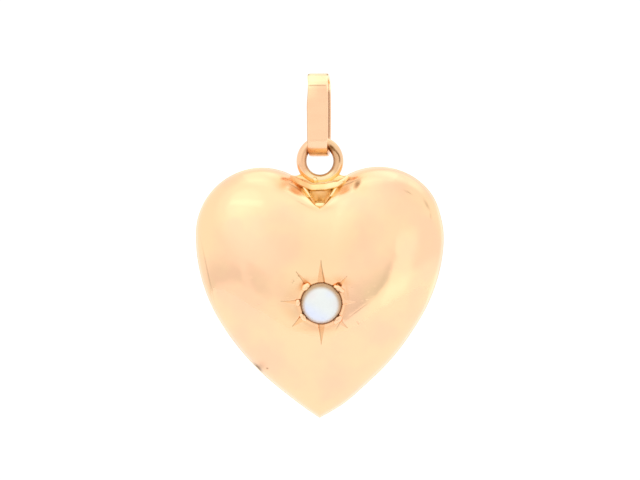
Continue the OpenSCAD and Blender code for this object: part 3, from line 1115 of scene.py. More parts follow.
@dataclass
class HeartShell:
    """The front and back domed shells of the heart and the solder along their seam.

    The front's core rows are circles about the pearl, out to core_out from its centre. Its
    face rows are level curves from there to the sweep rim_from, and its rim rows those on to
    the seam, where the sweep is a right angle. The fades are ranges of the level over which
    an unevenness dies away towards the seam. The halo is a painted reflection of gold in gold
    by the distance from the bore's edge. A thin dark line along the bore's edge is painted
    shade in the gap round the pearl, shade_arcs tell where more of it lies, and hidden_grime is
    the tarnish of the inside. The bead's middle lies bead_in radii inside the outline. The
    rims beside the cleft have a painted highlight, cleft_pale, from the heights cleft_pale_up
    above the pearl.
    """

    plan: Plan
    form: HeartForm
    star: StarFace
    columns: int = 720
    core_rows: int = 40
    core_out: float = 4.0
    face_rows: int = 52
    rim_rows: int = 26
    rim_from: float = math.radians(64.0)
    inner_rows: int = 6
    inner_core: float = 0.2
    relief_fade: Ramp = Ramp(1.0, 0.95)
    back_columns: int = 540
    back_rows: int = 64
    back_fade: Ramp = Ramp(1.0, 0.88)
    back_ripples: tuple[Wave, ...] = (
        Wave(0.006, 0.9, -0.8, 2.671),
        Wave(0.006, 0.9, 0.8, 0.529),
        Wave(0.006, 1.9, -1.4),
    )
    seam_gap: float = 0.012
    bead_r: float = 0.07
    bead_in: float = 0.35
    bead_flat: float = 0.8
    bead_columns: int = 900
    bead_rows: int = 10
    bead_grime: float = 0.08
    burnish: float = 0.095
    burnish_w: float = 0.09
    burnish_deep: float = 0.1
    edge_waves: tuple[Wave, ...] = (Wave(0.004, 5.0, start=0.4), Wave(0.003, 11.0, start=1.9))
    # Painted shade in a thin line along the bore's edge, in the gap round the pearl.
    painted_shade: float = 0.02
    shade_arcs: tuple[Arc, ...] = (Arc(3.58, 0.4, 0.28), Arc(0.1, 0.35, 0.4))
    shade_waves: tuple[Wave, ...] = (Wave(0.1, 7.0, start=1.0),)
    shade_w: float = 0.04
    # The halo is a painted reflection of gold in gold round the bore.
    halo: Hump = Hump(0.25, 0.35, 0.3)
    # A painted highlight on the rims beside the cleft.
    cleft_pale: Hump = Hump(0.0, 2.3, 0.65)
    cleft_pale_up: Ramp = Ramp(8.4, 9.2)
    hidden_grime: float = 0.3

    def bore_edge(self, turn: np.ndarray) -> np.ndarray:
        """Radius of the bore in each direction, burnished in to the pearl and a little uneven."""
        return self.plan.bore_r - self.burnish + wavy(self.edge_waves, turn)

    def lift(self, x: np.ndarray, z: np.ndarray, high: np.ndarray, front: bool) -> np.ndarray:
        """Turns plan points and heights into points in space, towards -Y in front."""
        depth = -high - self.seam_gap if front else high + self.seam_gap
        return np.stack([x, depth, z + self.plan.pearl_z], -1)

    def outer_levels(self, turn: np.ndarray, edge: np.ndarray) -> np.ndarray:
        """Levels of the front's rows, from the bore to the seam.

        The formula: the rows are circles about the pearl near it, then level curves of the
        dome. The level of a row is sin(sweep)^(2 / fullness), so that rows crowd where the
        side turns down.

        Args:
            turn: Directions of the columns.
            edge: Radius of the bore in each direction.

        Returns:
            The levels, rows by columns.
        """
        share = np.linspace(0.0, 1.0, self.core_rows)[:, None]
        core = self.form.level_at(turn, edge + (self.core_out - edge) * share)
        start = np.arcsin(core[-1] ** (self.plan.fullness / 2.0))[None, :]
        share = np.linspace(0.0, 1.0, self.face_rows + 1)[1:, None]
        face = start + (self.rim_from - start) * share
        share = np.linspace(0.0, 1.0, self.rim_rows + 1)[1:, None]
        rim = self.rim_from + (math.pi / 2.0 - self.rim_from) * share * np.ones_like(turn)
        sweep = np.sin(np.vstack([face, rim])) ** (2.0 / self.plan.fullness)
        return np.vstack([core, np.minimum(sweep, 1.0)])

    def front(self) -> bpy.types.Object:
        """The front shell: outside from the bore to the seam, then inside back to the bore.

        The relief of the star lies on the outside, and the bore's edge is rolled down to the
        pearl along a quarter circle.

        Returns:
            The piece.
        """
        turn = turned(self.columns)[None, :]
        edge = self.bore_edge(turn)
        level = self.outer_levels(turn, edge)
        x, z, high = self.form.from_pearl(turn * np.ones_like(level), level)
        relief, grime_and_shade, painted_reflection = self.star.relief(turn * np.ones_like(level), x, z)
        past = np.hypot(x - self.plan.pearl_x, z) - edge
        rolled = 1.0 - np.sqrt(1.0 - (1.0 - np.clip(past / self.burnish_w, 0.0, 1.0)) ** 2)
        high = high + relief * self.relief_fade.at(level)
        outside = self.lift(x, z, high - self.burnish_deep * rolled, True)
        # Painted shade along the bore's edge, in the gap round the pearl.
        painted_shade = self.painted_shade + sum(arc.at(turn) for arc in self.shade_arcs) + wavy(self.shade_waves, turn)
        grime_and_shade = np.maximum(grime_and_shade, painted_shade * bell(past, self.shade_w))
        # The halo: a painted reflection of gold in gold round the bore.
        painted_reflection = np.maximum(painted_reflection, self.halo.at(past))
        # A painted highlight on the rims beside the cleft.
        pale = self.cleft_pale.at(x) * self.cleft_pale_up.at(z) * (1.0 - painted_reflection)
        wall = self.plan.wall
        share = np.linspace(1.0, 0.0, self.inner_rows)[:, None]
        inner = np.sin(share * math.pi / 2.0) ** (2.0 / self.plan.fullness)
        level = np.maximum(inner, self.form.level_at(turn, edge, wall))
        x, z, high = self.form.from_pearl(turn * np.ones_like(level), level, wall)
        inside = self.lift(x, z, high, True)
        marks = {
            "recess": np.vstack([grime_and_shade, np.full(level.shape, self.hidden_grime)]),
            "painted_reflection": np.vstack([painted_reflection, np.zeros(level.shape)]),
            "pale": np.vstack([pale, np.zeros(level.shape)]),
        }
        return surface("front_shell", np.vstack([outside, inside]), marks, row_loop=True)

    def back(self) -> bpy.types.Object:
        """The back shell, a plain dome of the same form with a soft unevenness of its own.

        Returns:
            The piece.
        """
        turn = turned(self.back_columns)[None, :]
        sweep = np.linspace(0.0, math.pi / 2.0, self.back_rows + 1)[1:, None]
        level = np.sin(sweep) ** (2.0 / self.plan.fullness) * np.ones_like(turn)
        x, z, high = self.form.dome(turn * np.ones_like(level), level)
        uneven = wavy(self.back_ripples, x, z)
        high = high + uneven * self.back_fade.at(level)
        outside = self.lift(x, z, high, False)
        half_d = self.plan.heart_d / 2.0
        pole = (0.0, half_d + self.seam_gap + uneven[0].mean(), self.plan.pearl_z)
        level = np.linspace(1.0, self.inner_core, self.inner_rows)[:, None] * np.ones_like(turn)
        x, z, high = self.form.dome(turn * np.ones_like(level), level, self.plan.wall)
        inside = self.lift(x, z, high, False)
        return surface(
            "back_shell",
            np.vstack([outside, inside]),
            {"recess": 0.0},
            first_pole=pole,
            last_pole=(0.0, half_d - self.plan.wall, self.plan.pearl_z),
        )

    def seam(self) -> bpy.types.Object:
        """The thin bead of solder along the seam: a small oval section carried along the outline.

        Returns:
            The piece.
        """
        turn = turned(self.bead_columns)[None, :]
        around = turned(self.bead_rows)[:, None]
        reach = self.form.outline_reach(turn) + self.bead_r * (np.cos(around) - self.bead_in)
        x, z = reach * np.cos(turn), reach * np.sin(turn)
        depth = self.bead_r * self.bead_flat * np.sin(around) * np.ones_like(turn)
        points = np.stack([x, depth, z + self.plan.pearl_z], -1)
        return surface("seam_solder", points, {"recess": self.bead_grime}, row_loop=True)

    def build(self, gold: bpy.types.Material, solder: bpy.types.Material) -> None:
        """Makes and dresses the shells and their seam.

        Args:
            gold: Finish of the shells.
            solder: Finish of the seam.
        """
        dress(self.front(), gold, Body.HEART, Slot.HEART_GOLD, "heart")
        dress(self.back(), gold, Body.HEART, Slot.HEART_GOLD, "heart")
        dress(self.seam(), solder, Body.HEART, Slot.HEART_GOLD)


@dataclass(frozen=True)
class Grain:
    """One raised grain.

    Attributes:
        name: Name of the piece.
        turn: Its direction from the pearl's centre, in degrees.
        out: Its distance from there.
        along: Half length along the bore's edge.
        across: Half width.
        high: Half height.
        tilt: How far its length is turned from the bore's edge, in degrees.
    """

    name: str
    turn: float
    out: float
    along: float
    across: float
    high: float
    tilt: float = 0.0


@dataclass
class StarSetting:
    """The cup behind the pearl and the grains raised over the pearl's edge.

    The cup's mouth lies mouth_down behind the face, and pearl_room is left behind the pearl.
    A grain's middle lies grain_down behind the face, grain_power is the power of its form,
    and grain_lean the share of its height by which its top is drawn towards the pearl.
    """

    plan: Plan
    cup_wall: float = 0.4
    cup_gap: float = 0.03
    mouth_down: float = 0.16
    corner: float = 0.05
    vent_r: float = 0.35
    vent_corner: float = 0.03
    pearl_room: float = 0.07
    cup_columns: int = 96
    cup_grime: float = 0.25
    grain_rows: int = 20
    grain_columns: int = 36
    grain_power: float = 0.9
    grain_lean: float = 0.22
    grain_wave: Wave = Wave(0.02, 5.0, 3.0)
    grain_down: float = 0.02
    grains: tuple[Grain, ...] = (
        Grain("grain_upper_left", 133.5, 1.98, 0.42, 0.30, 0.26),
        Grain("grain_upper_right", 39.0, 2.03, 0.56, 0.25, 0.28, 20.0),
        Grain("grain_left", 179.0, 2.06, 0.30, 0.22, 0.13),
        Grain("grain_lower_left", 218.0, 2.02, 0.42, 0.22, 0.15),
        Grain("grain_lower_right", 315.0, 2.06, 0.48, 0.26, 0.18),
    )

    def cup(self) -> bpy.types.Object:
        """The cup: its section, bore wall and floor with a small vent, turned about the pearl's axis.

        Returns:
            The piece.
        """
        plan = self.plan
        inner, outer = plan.bore_r + self.cup_gap, plan.bore_r + self.cup_wall
        mouth = plan.face_y + self.mouth_down
        floor = plan.pearl_y + plan.pearl_r + self.pearl_room
        end = floor + self.cup_wall
        section = np.array([
            [inner, mouth],
            [inner, (mouth + floor) / 2.0],
            [inner, floor - self.corner],
            [inner - self.corner, floor],
            [self.vent_r + self.vent_corner, floor],
            [self.vent_r, floor + self.vent_corner],
            [self.vent_r, end],
            [outer - self.corner, end],
            [outer, end - self.corner],
            [outer, mouth + 2.0 * self.corner],
        ])
        turn = turned(self.cup_columns)[None, :]
        points = np.stack([
            plan.pearl_x + section[:, :1] * np.cos(turn),
            section[:, 1:] * np.ones_like(turn),
            plan.pearl_z + section[:, :1] * np.sin(turn),
        ], -1)
        return surface("pearl_cup", points, {"recess": self.cup_grime}, row_loop=True)

    def place(
        self, turn: float, out: np.ndarray | float, side: np.ndarray | float, y: np.ndarray | float
    ) -> np.ndarray:
        """Points at distances outwards and to the side of a direction from the pearl's centre.

        Args:
            turn: The direction in degrees.
            out: Distances along it.
            side: Distances anticlockwise from it.
            y: Depths.

        Returns:
            The points.
        """
        c, s = math.cos(math.radians(turn)), math.sin(math.radians(turn))
        x, z = out * c - side * s, out * s + side * c
        return np.stack([self.plan.pearl_x + x, y, self.plan.pearl_z + z], -1)

    def grain(self, grain: Grain) -> bpy.types.Object:
        """One grain: a rounded lump, longer along the bore's edge, leaning in over the pearl.

        The formula: a superellipsoid with its top drawn towards the pearl by a share of its
        height.

        Args:
            grain: Its place and radii.

        Returns:
            The piece.
        """
        rise = np.linspace(-math.pi / 2.0, math.pi / 2.0, self.grain_rows + 2)[1:-1, None]
        turn = turned(self.grain_columns)[None, :]
        round_, flat = power(np.cos(rise), self.grain_power), power(np.sin(rise), self.grain_power)
        a = grain.across * round_ * power(np.cos(turn), self.grain_power)
        b = grain.along * round_ * power(np.sin(turn), self.grain_power)
        c = grain.high * flat * np.ones_like(turn)
        tc, ts = math.cos(math.radians(grain.tilt)), math.sin(math.radians(grain.tilt))
        a, b = a * tc - b * ts, a * ts + b * tc
        a = a - self.grain_lean * np.maximum(c, 0.0) + self.grain_wave.at(turn, rise)
        base = self.plan.face_y + self.grain_down
        points = self.place(grain.turn, grain.out + a, b, base - c)
        low = self.place(grain.turn, grain.out, 0.0, base + grain.high)
        lean = self.grain_lean * grain.high
        top = self.place(grain.turn, grain.out - lean, 0.0, base - grain.high)
        return surface(grain.name, points, {"recess": 0.0}, first_pole=low, last_pole=top)

    def build(self, gold: bpy.types.Material) -> None:
        """Makes and dresses the cup and its grains.

        Args:
            gold: Their finish.
        """
        dress(self.cup(), gold, Body.HEART, Slot.HEART_GOLD)
        for grain in self.grains:
            dress(self.grain(grain), gold, Body.HEART, Slot.HEART_GOLD)


@dataclass
class Pearl:
    """The pearl, very slightly out of round, its clean skin a little low in the setting.

    Distances are from the pearl's centre. The skin is bright within bright_r of a point that
    lies bright_drop below the centre, at bright_x, and darkens over edge_w round that, a
    painted shade and painted reflection of the gold. The cool overtone comes in with
    cool_x * x + cool_z * z, cool_patch holds more of it, and rosy_patches the warm one. The
    radius is less than the solid one's by the share smaller.
    """

    plan: Plan
    bright_x: float = -0.03
    bright_drop: float = 0.15
    bright_r: float = 1.32
    edge_w: float = 0.4
    rows: int = 70
    columns: int = 128
    smaller: float = 0.0048
    uneven: tuple[Wave, ...] = (Wave(0.003, 2.0, start=0.5), Wave(0.0018, 3.0, 4.0))
    cool_x: float = -0.55
    cool_z: float = -0.85
    cool_from: Ramp = Ramp(0.1, 1.4)
    cool_patch: Patch = Patch(0.75, 0.85, 0.4, 0.5)
    rosy_patches: tuple[Patch, ...] = (Patch(-0.85, 0.8, 0.45, 0.5), Patch(1.35, -0.1, 0.4, 0.35))

    def build(self, nacre: bpy.types.Material) -> None:
        """Makes the pearl: a sphere whose radius varies by a few soft waves, and dresses it.

        Args:
            nacre: Its finish.
        """
        plan = self.plan
        rise = np.linspace(-math.pi / 2.0, math.pi / 2.0, self.rows + 2)[1:-1, None]
        turn = turned(self.columns)[None, :]
        less = self.smaller + np.cos(rise) ** 2 * wavy(self.uneven, turn, rise)
        r = plan.pearl_r * (1.0 - less)
        x, z = r * np.cos(rise) * np.cos(turn), r * np.cos(rise) * np.sin(turn)
        points = np.stack([plan.pearl_x + x, plan.pearl_y + r * np.sin(rise), plan.pearl_z + z], -1)
        pole_r = plan.pearl_r * (1.0 - self.smaller)
        out = np.hypot(x - self.bright_x, z + self.bright_drop)
        cool = self.cool_from.at(self.cool_x * x + self.cool_z * z) + self.cool_patch.at(x, z)
        marks = {
            # Painted shade and painted reflection of the gold near the setting.
            "edge": smooth_step((out - self.bright_r) / self.edge_w),
            "cool": cool,
            "rosy": sum(patch.at(x, z) for patch in self.rosy_patches),
        }
        piece = surface(
            "pearl_ball",
            points,
            marks,
            first_pole=(plan.pearl_x, plan.pearl_y - pole_r, plan.pearl_z),
            last_pole=(plan.pearl_x, plan.pearl_y + pole_r, plan.pearl_z),
        )
        dress(piece, nacre, Body.HEART, Slot.PEARL, "pearl")


@dataclass(frozen=True)
class Lump:
    """One smooth lump of solder.

    Attributes:
        name: Name of the piece.
        centre: Its middle, with the height below the eye ring's centre.
        radii: Its three half sizes.
        shear: How much higher it stands for each millimetre to the right.
        pale: Share of painted highlight on it, from 0 to 1.
    """

    name: str
    centre: Triple
    radii: Triple
    shear: float
    pale: float = 0.0


@dataclass
class EyeRing:
    """The eye ring: a round wire carried round a circle, worn a little where the bail hangs.

    Directions are radians round the ring from its right, and round the wire from its outside
    towards the back. A dark streak follows the front of the wire along part of the right
    side: its places lie across the wire, and its widths are radians round it. The inner side
    and the wire beside the bail are darker. The wire's front, towards its inner side, has a
    painted reflection of gold in gold. Below, beside the solder, the ring has a painted
    highlight and neither smoke nor the painted reflection: soldered is a range of the sine
    round the ring.
    """

    plan: Plan
    columns: int = 216
    rows: int = 64
    wire_more: float = 0.035
    wear: Arc = Arc(math.pi / 2.0, 0.6, 0.012)
    rise: float = 0.09
    shift: float = 0.03
    streak_from: float = math.radians(-10.0)
    streak_to: float = math.radians(64.0)
    streak_on: float = 0.2
    streak_off: float = 0.3
    streak_out: float = 0.12
    streak_in: float = -0.06
    streak_wave: Wave = Wave(0.08, 7.0)
    streak_w: float = 0.13
    streak_widens: float = 0.1
    streak_deep: float = 0.02
    streak_dark: float = 0.9
    # Darker on the inner side and on the wire beside the bail.
    inner: Arc = Arc(math.pi, 1.0, 0.7)
    inner_waves: tuple[Wave, ...] = (Wave(0.2, 2.0, start=3.6),)
    beside: tuple[Arc, ...] = (Arc(0.9, 0.3, 0.6), Arc(2.4, 0.25, 0.3))
    beside_side: Arc = Arc(-2.3, 0.6)
    soldered: Ramp = Ramp(-0.45, -0.85)
    smoke: float = 0.1
    smoke_right: float = 0.05
    # A painted reflection of gold in gold on the wire's front, towards its inner side.
    warm_side: Arc = Arc(-2.2, 1.1, 0.35)
    # A painted highlight on the ring's lower part, beside the solder.
    low_pale: float = 0.9

    def streak(self, angle: np.ndarray, around: np.ndarray) -> np.ndarray:
        """Share of the dark streak at a place round the ring and round its wire.

        The formula: a bell round the wire about the streak's place, which drifts from
        streak_out to streak_in along the ring, faded in and out at its ends.

        Args:
            angle: Directions round the ring, within half a turn of 0.
            around: Directions round the wire.

        Returns:
            The share.
        """
        start = smooth_step((angle - self.streak_from) / self.streak_on)
        end = smooth_step((self.streak_to - angle) / self.streak_off)
        drift = Ramp(self.streak_from, self.streak_to).at(angle)
        place = self.streak_out + (self.streak_in - self.streak_out) * drift
        front = self.streak_wave.at(angle) - np.arccos(place / self.plan.eye_wire_r)
        wide = self.streak_w + self.streak_widens * drift
        return start * end * bell(wrapped(around - front), wide)

    def build(self, gold: bpy.types.Material) -> None:
        """Makes and dresses the ring.

        Args:
            gold: Its finish.
        """
        plan = self.plan
        turn = turned(self.columns)[None, :]
        around = turned(self.rows)[:, None]
        streak = self.streak(wrapped(turn), around)
        wire = plan.eye_wire_r + self.wire_more - self.wear.at(turn) - self.streak_deep * streak
        more = self.rise * np.maximum(np.sin(turn), 0.0) ** 2 + self.shift * np.cos(turn)
        reach = plan.eye_r + wire * np.cos(around) + more
        x, z = reach * np.cos(turn), reach * np.sin(turn)
        points = np.stack([x, wire * np.sin(around), plan.eye_z + z], -1)
        clear = 1.0 - self.soldered.at(np.sin(turn))
        # Darker on the inner side and on the wire beside the bail.
        inner = self.inner.at(around) * (1.0 + wavy(self.inner_waves, turn))
        worn = sum(arc.at(turn) for arc in self.beside) * self.beside_side.at(around)
        smoked = (self.smoke + self.smoke_right * np.cos(turn)) * clear
        marks = {
            "recess": np.clip(self.streak_dark * streak + inner + worn + smoked, 0.0, 1.0),
            # A painted reflection of gold in gold on the wire's front, towards its inner side.
            "painted_reflection": self.warm_side.at(around) * clear,
            # A painted highlight on the lower part, beside the solder.
            "pale": self.low_pale * (1.0 - clear),
        }
        piece = surface("eye_ring", points, marks, row_loop=True)
        dress(piece, gold, Body.HEART, Slot.HEART_GOLD)


@dataclass
class CleftSolder:
    """The saddle that carries the eye ring, its web and lumps, and the gusset in the cleft below.

    A drop is a height below the eye ring's centre. In a band, boxy is the power of its
    section and end tells how bluntly it ends, and ranges are distances from the middle,
    apart from left_reflection and right_pale, which go by x. The ranges of the gusset are shares of
    its height, counted downwards. The parts carry shares of painted reflection of gold in gold
    and of painted highlight, and the gusset a painted shadow just below the saddle.
    """

    plan: Plan
    rows: int = 64
    saddle_x: float = 2.85
    saddle_top_drop: float = 1.97
    saddle_low_drop: float = 2.75
    saddle_half_d: float = 1.95
    saddle_columns: int = 97
    saddle_boxy: float = 0.5
    saddle_splay: float = 0.09
    saddle_end: float = 3.0
    saddle_waves: tuple[Wave, ...] = (
        Wave(0.05, 2.6, start=0.4),
        Wave(0.025, 5.3, start=2.0),
        Wave(0.008, 11.0),
    )
    arm_rise: float = 0.19
    arm_power: float = 1.35
    arm_round: float = 0.1
    under_rise: float = 0.14
    arm_thinner: Ramp = Ramp(1.55, 2.8, 0.5)
    # Painted reflection of gold in gold on the saddle, more on its left, and a painted highlight on
    # its right.
    saddle_reflection: float = 0.08
    left_reflection: Ramp = Ramp(-0.5, -1.3, 0.55)
    right_pale: Ramp = Ramp(0.2, 0.9, 0.65)
    web_x: float = 2.62
    web_top_drop: float = 1.30
    web_low_drop: float = 2.5
    web_rise: float = 0.75
    web_half_d: float = 0.26
    web_columns: int = 65
    web_boxy: float = 0.6
    web_end: float = 6.0
    fillets: tuple[Hump, ...] = (Hump(1.75, 0.22, 0.12), Hump(2.62, 0.3, 0.08))
    fillets_from: Ramp = Ramp(1.35, 1.65)
    web_thicker: Ramp = Ramp(1.5, 2.3, 0.9)
    gusset_x: float = 2.0
    gusset_top_drop: float = 2.2
    gusset_low_drop: float = 4.2
    gusset_top_d: float = 1.7
    gusset_low_d: float = 0.8
    gusset_power: float = 0.75
    gusset_tip: float = 0.04
    gusset_columns: int = 40
    # On the gusset: a painted shadow just below the saddle, a painted reflection of gold in gold
    # above, and painted highlights.
    shadow_under_saddle: Hump = Hump(0.16, 0.05, 0.25)
    gusset_reflection: Ramp = Ramp(0.75, 0.45, 0.3)
    gusset_pale: float = 0.25
    gusset_low_pale: Ramp = Ramp(0.5, 0.75, 0.5)
    lump_rows: int = 24
    lump_columns: int = 44
    lump_waves: tuple[Wave, ...] = (Wave(0.1, 3.0, start=1.0),)
    # The last number of a lump is its share of painted highlight.
    lumps: tuple[Lump, ...] = (
        Lump("solder_bead", (-0.4, -0.35, 1.7), (0.27, 0.3, 0.32), -0.2, 0.6),
        Lump("solder_run_front", (0.1, -0.55, 2.12), (0.95, 0.75, 0.3), 0.1, 0.5),
        Lump("solder_run_right", (1.5, -1.5, 2.05), (0.66, 0.3, 0.28), 0.45, 0.7),
        Lump("solder_run_left", (-1.35, -1.45, 2.1), (0.6, 0.3, 0.22), -0.5, 0.3),
        Lump("solder_corner_left", (-1.08, -1.1, 2.84), (0.6, 0.95, 0.46), -1.2, 0.6),
        Lump("solder_corner_right", (1.18, -1.1, 2.86), (0.6, 0.95, 0.48), 1.2, 0.6),
        Lump("solder_tip", (0.05, -1.92, 3.97), (0.8, 0.72, 0.38), 0.0, 0.5),
        Lump("solder_run_back", (0.0, 0.5, 2.08), (0.9, 0.75, 0.3), -0.05),
    )

    def along(self, half_x: float, count: int) -> np.ndarray:
        """Places along a band, closer together at its ends."""
        return half_x * np.sin(np.linspace(-1.0, 1.0, count) * math.pi / 2.0)

    def band(
        self,
        name: str,
        x: np.ndarray,
        heights: tuple[np.ndarray, np.ndarray],
        depth: np.ndarray,
        end: np.ndarray,
        boxy: float,
        splay: float,
        marks: dict[str, np.ndarray],
    ) -> bpy.types.Object:
        """A closed band along X whose section is a superellipse.

        The formula: across the section the height and the depth follow sine and cosine
        raised to the power boxy. The depth grows by the share splay at the underside and
        falls by it at the top.

        Args:
            name: Name of the piece.
            x: Places along it, ends included.
            heights: Heights of its top and of its underside at each place.
            depth: Half depth.
            end: Share of its height and depth that is left, less than 1 at its ends.
            boxy: Power of the superellipse, 1 for an ellipse and less for a boxier section.
            splay: Share by which the underside is deeper and the top less deep.
            marks: Attributes at each place along it.

        Returns:
            The piece.
        """
        top, under = heights
        around = turned(self.rows)[None, :]
        middle, half = ((top + under) / 2.0)[:, None], ((top - under) / 2.0 * end)[:, None]
        rise = power(np.sin(around), boxy)
        y = (depth * end)[:, None] * power(np.cos(around), boxy) * (1.0 - splay * rise)
        points = np.stack([x[:, None] * np.ones_like(y), y, middle + half * rise], -1)
        return surface(
            name,
            points[1:-1],
            {label: values[1:-1, None] for label, values in marks.items()},
            first_pole=(x[0], 0.0, middle[0, 0]),
            last_pole=(x[-1], 0.0, middle[-1, 0]),
        )

    def saddle(self) -> bpy.types.Object:
        """The saddle: a broad V of solder over the notch, its arms running up into the lobes.

        The formula: its top rises with a power of the distance from the middle and its
        underside with the square. Its depth falls smoothly towards the ends of the arms, so
        that they sink into the lobes.

        Returns:
            The piece.
        """
        x = self.along(self.saddle_x, self.saddle_columns)
        side = np.abs(x)
        uneven = wavy(self.saddle_waves, x)
        rise = self.arm_rise * np.sqrt(x * x + self.arm_round) ** self.arm_power
        top = self.plan.eye_z - self.saddle_top_drop + rise + uneven
        under = self.plan.eye_z - self.saddle_low_drop + self.under_rise * x * x + uneven / 2.0
        left = np.sqrt(np.maximum(0.0, 1.0 - side / self.saddle_x))
        depth = self.saddle_half_d * (1.0 - self.arm_thinner.at(side))
        # Painted reflection, more on the left, and a painted highlight on the right.
        marks = {
            "recess": np.zeros_like(x),
            "painted_reflection": self.saddle_reflection + self.left_reflection.at(x),
            "pale": self.right_pale.at(x),
        }
        end = np.minimum(1.0, self.saddle_end * left)
        boxy, splay = self.saddle_boxy, self.saddle_splay
        return self.band("saddle", x, (top, under), depth, end, boxy, splay, marks)

    def web(self) -> bpy.types.Object:
        """The thin web of solder that fills the corners between the eye ring and the lobes.

        The formula: its top is level apart from the bells of its fillets, and its underside
        rises with the square of the distance from the middle.

        Returns:
            The piece.
        """
        x = self.along(self.web_x, self.web_columns)
        side = np.abs(x)
        fillets = sum(fillet.at(side) for fillet in self.fillets)
        top = self.plan.eye_z - self.web_top_drop + fillets * self.fillets_from.at(side)
        under = self.plan.eye_z - self.web_low_drop + self.web_rise * (x / self.web_x) ** 2
        left = np.sqrt(np.maximum(0.0, 1.0 - (x / self.web_x) ** 2))
        depth = self.web_half_d * (1.0 + self.web_thicker.at(side))
        marks = {label: np.zeros_like(x) for label in ("recess", "painted_reflection", "pale")}
        end = np.minimum(1.0, self.web_end * left)
        return self.band("solder_web", x, (top, under), depth, end, self.web_boxy, 0.0, marks)

    def gusset(self) -> bpy.types.Object:
        """The gusset: stacked oval sections down the cleft, its faces sloping in below.

        The formula: the half width falls with a power of the share that is left, and the
        half depth falls evenly, so that the face looks downwards into the cleft.

        Returns:
            The piece.
        """
        top = self.plan.eye_z - self.gusset_top_drop
        low = self.plan.eye_z - self.gusset_low_drop
        down = np.linspace(0.0, 1.0, self.gusset_columns)[:, None]
        around = turned(self.rows)[None, :]
        half_x = self.gusset_x * (1.0 - down) ** self.gusset_power + self.gusset_tip
        half_y = self.gusset_top_d + (self.gusset_low_d - self.gusset_top_d) * down
        z = (top + (low - top) * down) * np.ones_like(around)
        points = np.stack([half_x * np.cos(around), half_y * np.sin(around), z], -1)
        # A painted shadow just below the saddle, painted reflection above, and painted highlights.
        marks = {
            "recess": self.shadow_under_saddle.at(down),
            "painted_reflection": self.gusset_reflection.at(down),
            "pale": self.gusset_pale + self.gusset_low_pale.at(down),
        }
        poles = {"first_pole": (0.0, 0.0, top), "last_pole": (0.0, 0.0, low)}
        return surface("cleft_gusset", points, marks, **poles)

    def lump(self, lump: Lump) -> bpy.types.Object:
        """A smooth ellipsoid of solder, a little uneven in plan and sheared in height along X.

        Args:
            lump: Its place and sizes.

        Returns:
            The piece.
        """
        rise = np.linspace(-math.pi / 2.0, math.pi / 2.0, self.lump_rows + 2)[1:-1, None]
        turn = turned(self.lump_columns)[None, :]
        uneven = 1.0 + wavy(self.lump_waves, turn)
        a = lump.radii[0] * np.cos(rise) * np.cos(turn) * uneven
        b = lump.radii[1] * np.cos(rise) * np.sin(turn)
        c = lump.radii[2] * np.sin(rise)
        x, y, z = lump.centre[0], lump.centre[1], self.plan.eye_z - lump.centre[2]
        points = np.stack([x + a, y + b, z + c + lump.shear * a], -1)
        # A painted highlight on the lump, by its pale share.
        marks = {"recess": 0.0, "pale": lump.pale}
        low, top = (x, y, z - lump.radii[2]), (x, y, z + lump.radii[2])
        return surface(lump.name, points, marks, first_pole=low, last_pole=top)

    def build(self, solder: bpy.types.Material, satin: bpy.types.Material) -> None:
        """Makes and dresses the saddle, its web, the lumps and the gusset.

        Args:
            solder: Finish of the solder.
            satin: Finish of the gusset.
        """
        dress(self.saddle(), solder, Body.HEART, Slot.HEART_GOLD)
        dress(self.web(), solder, Body.HEART, Slot.HEART_GOLD)
        for lump in self.lumps:
            dress(self.lump(lump), solder, Body.HEART, Slot.HEART_GOLD)
        dress(self.gusset(), satin, Body.HEART, Slot.HEART_GOLD)


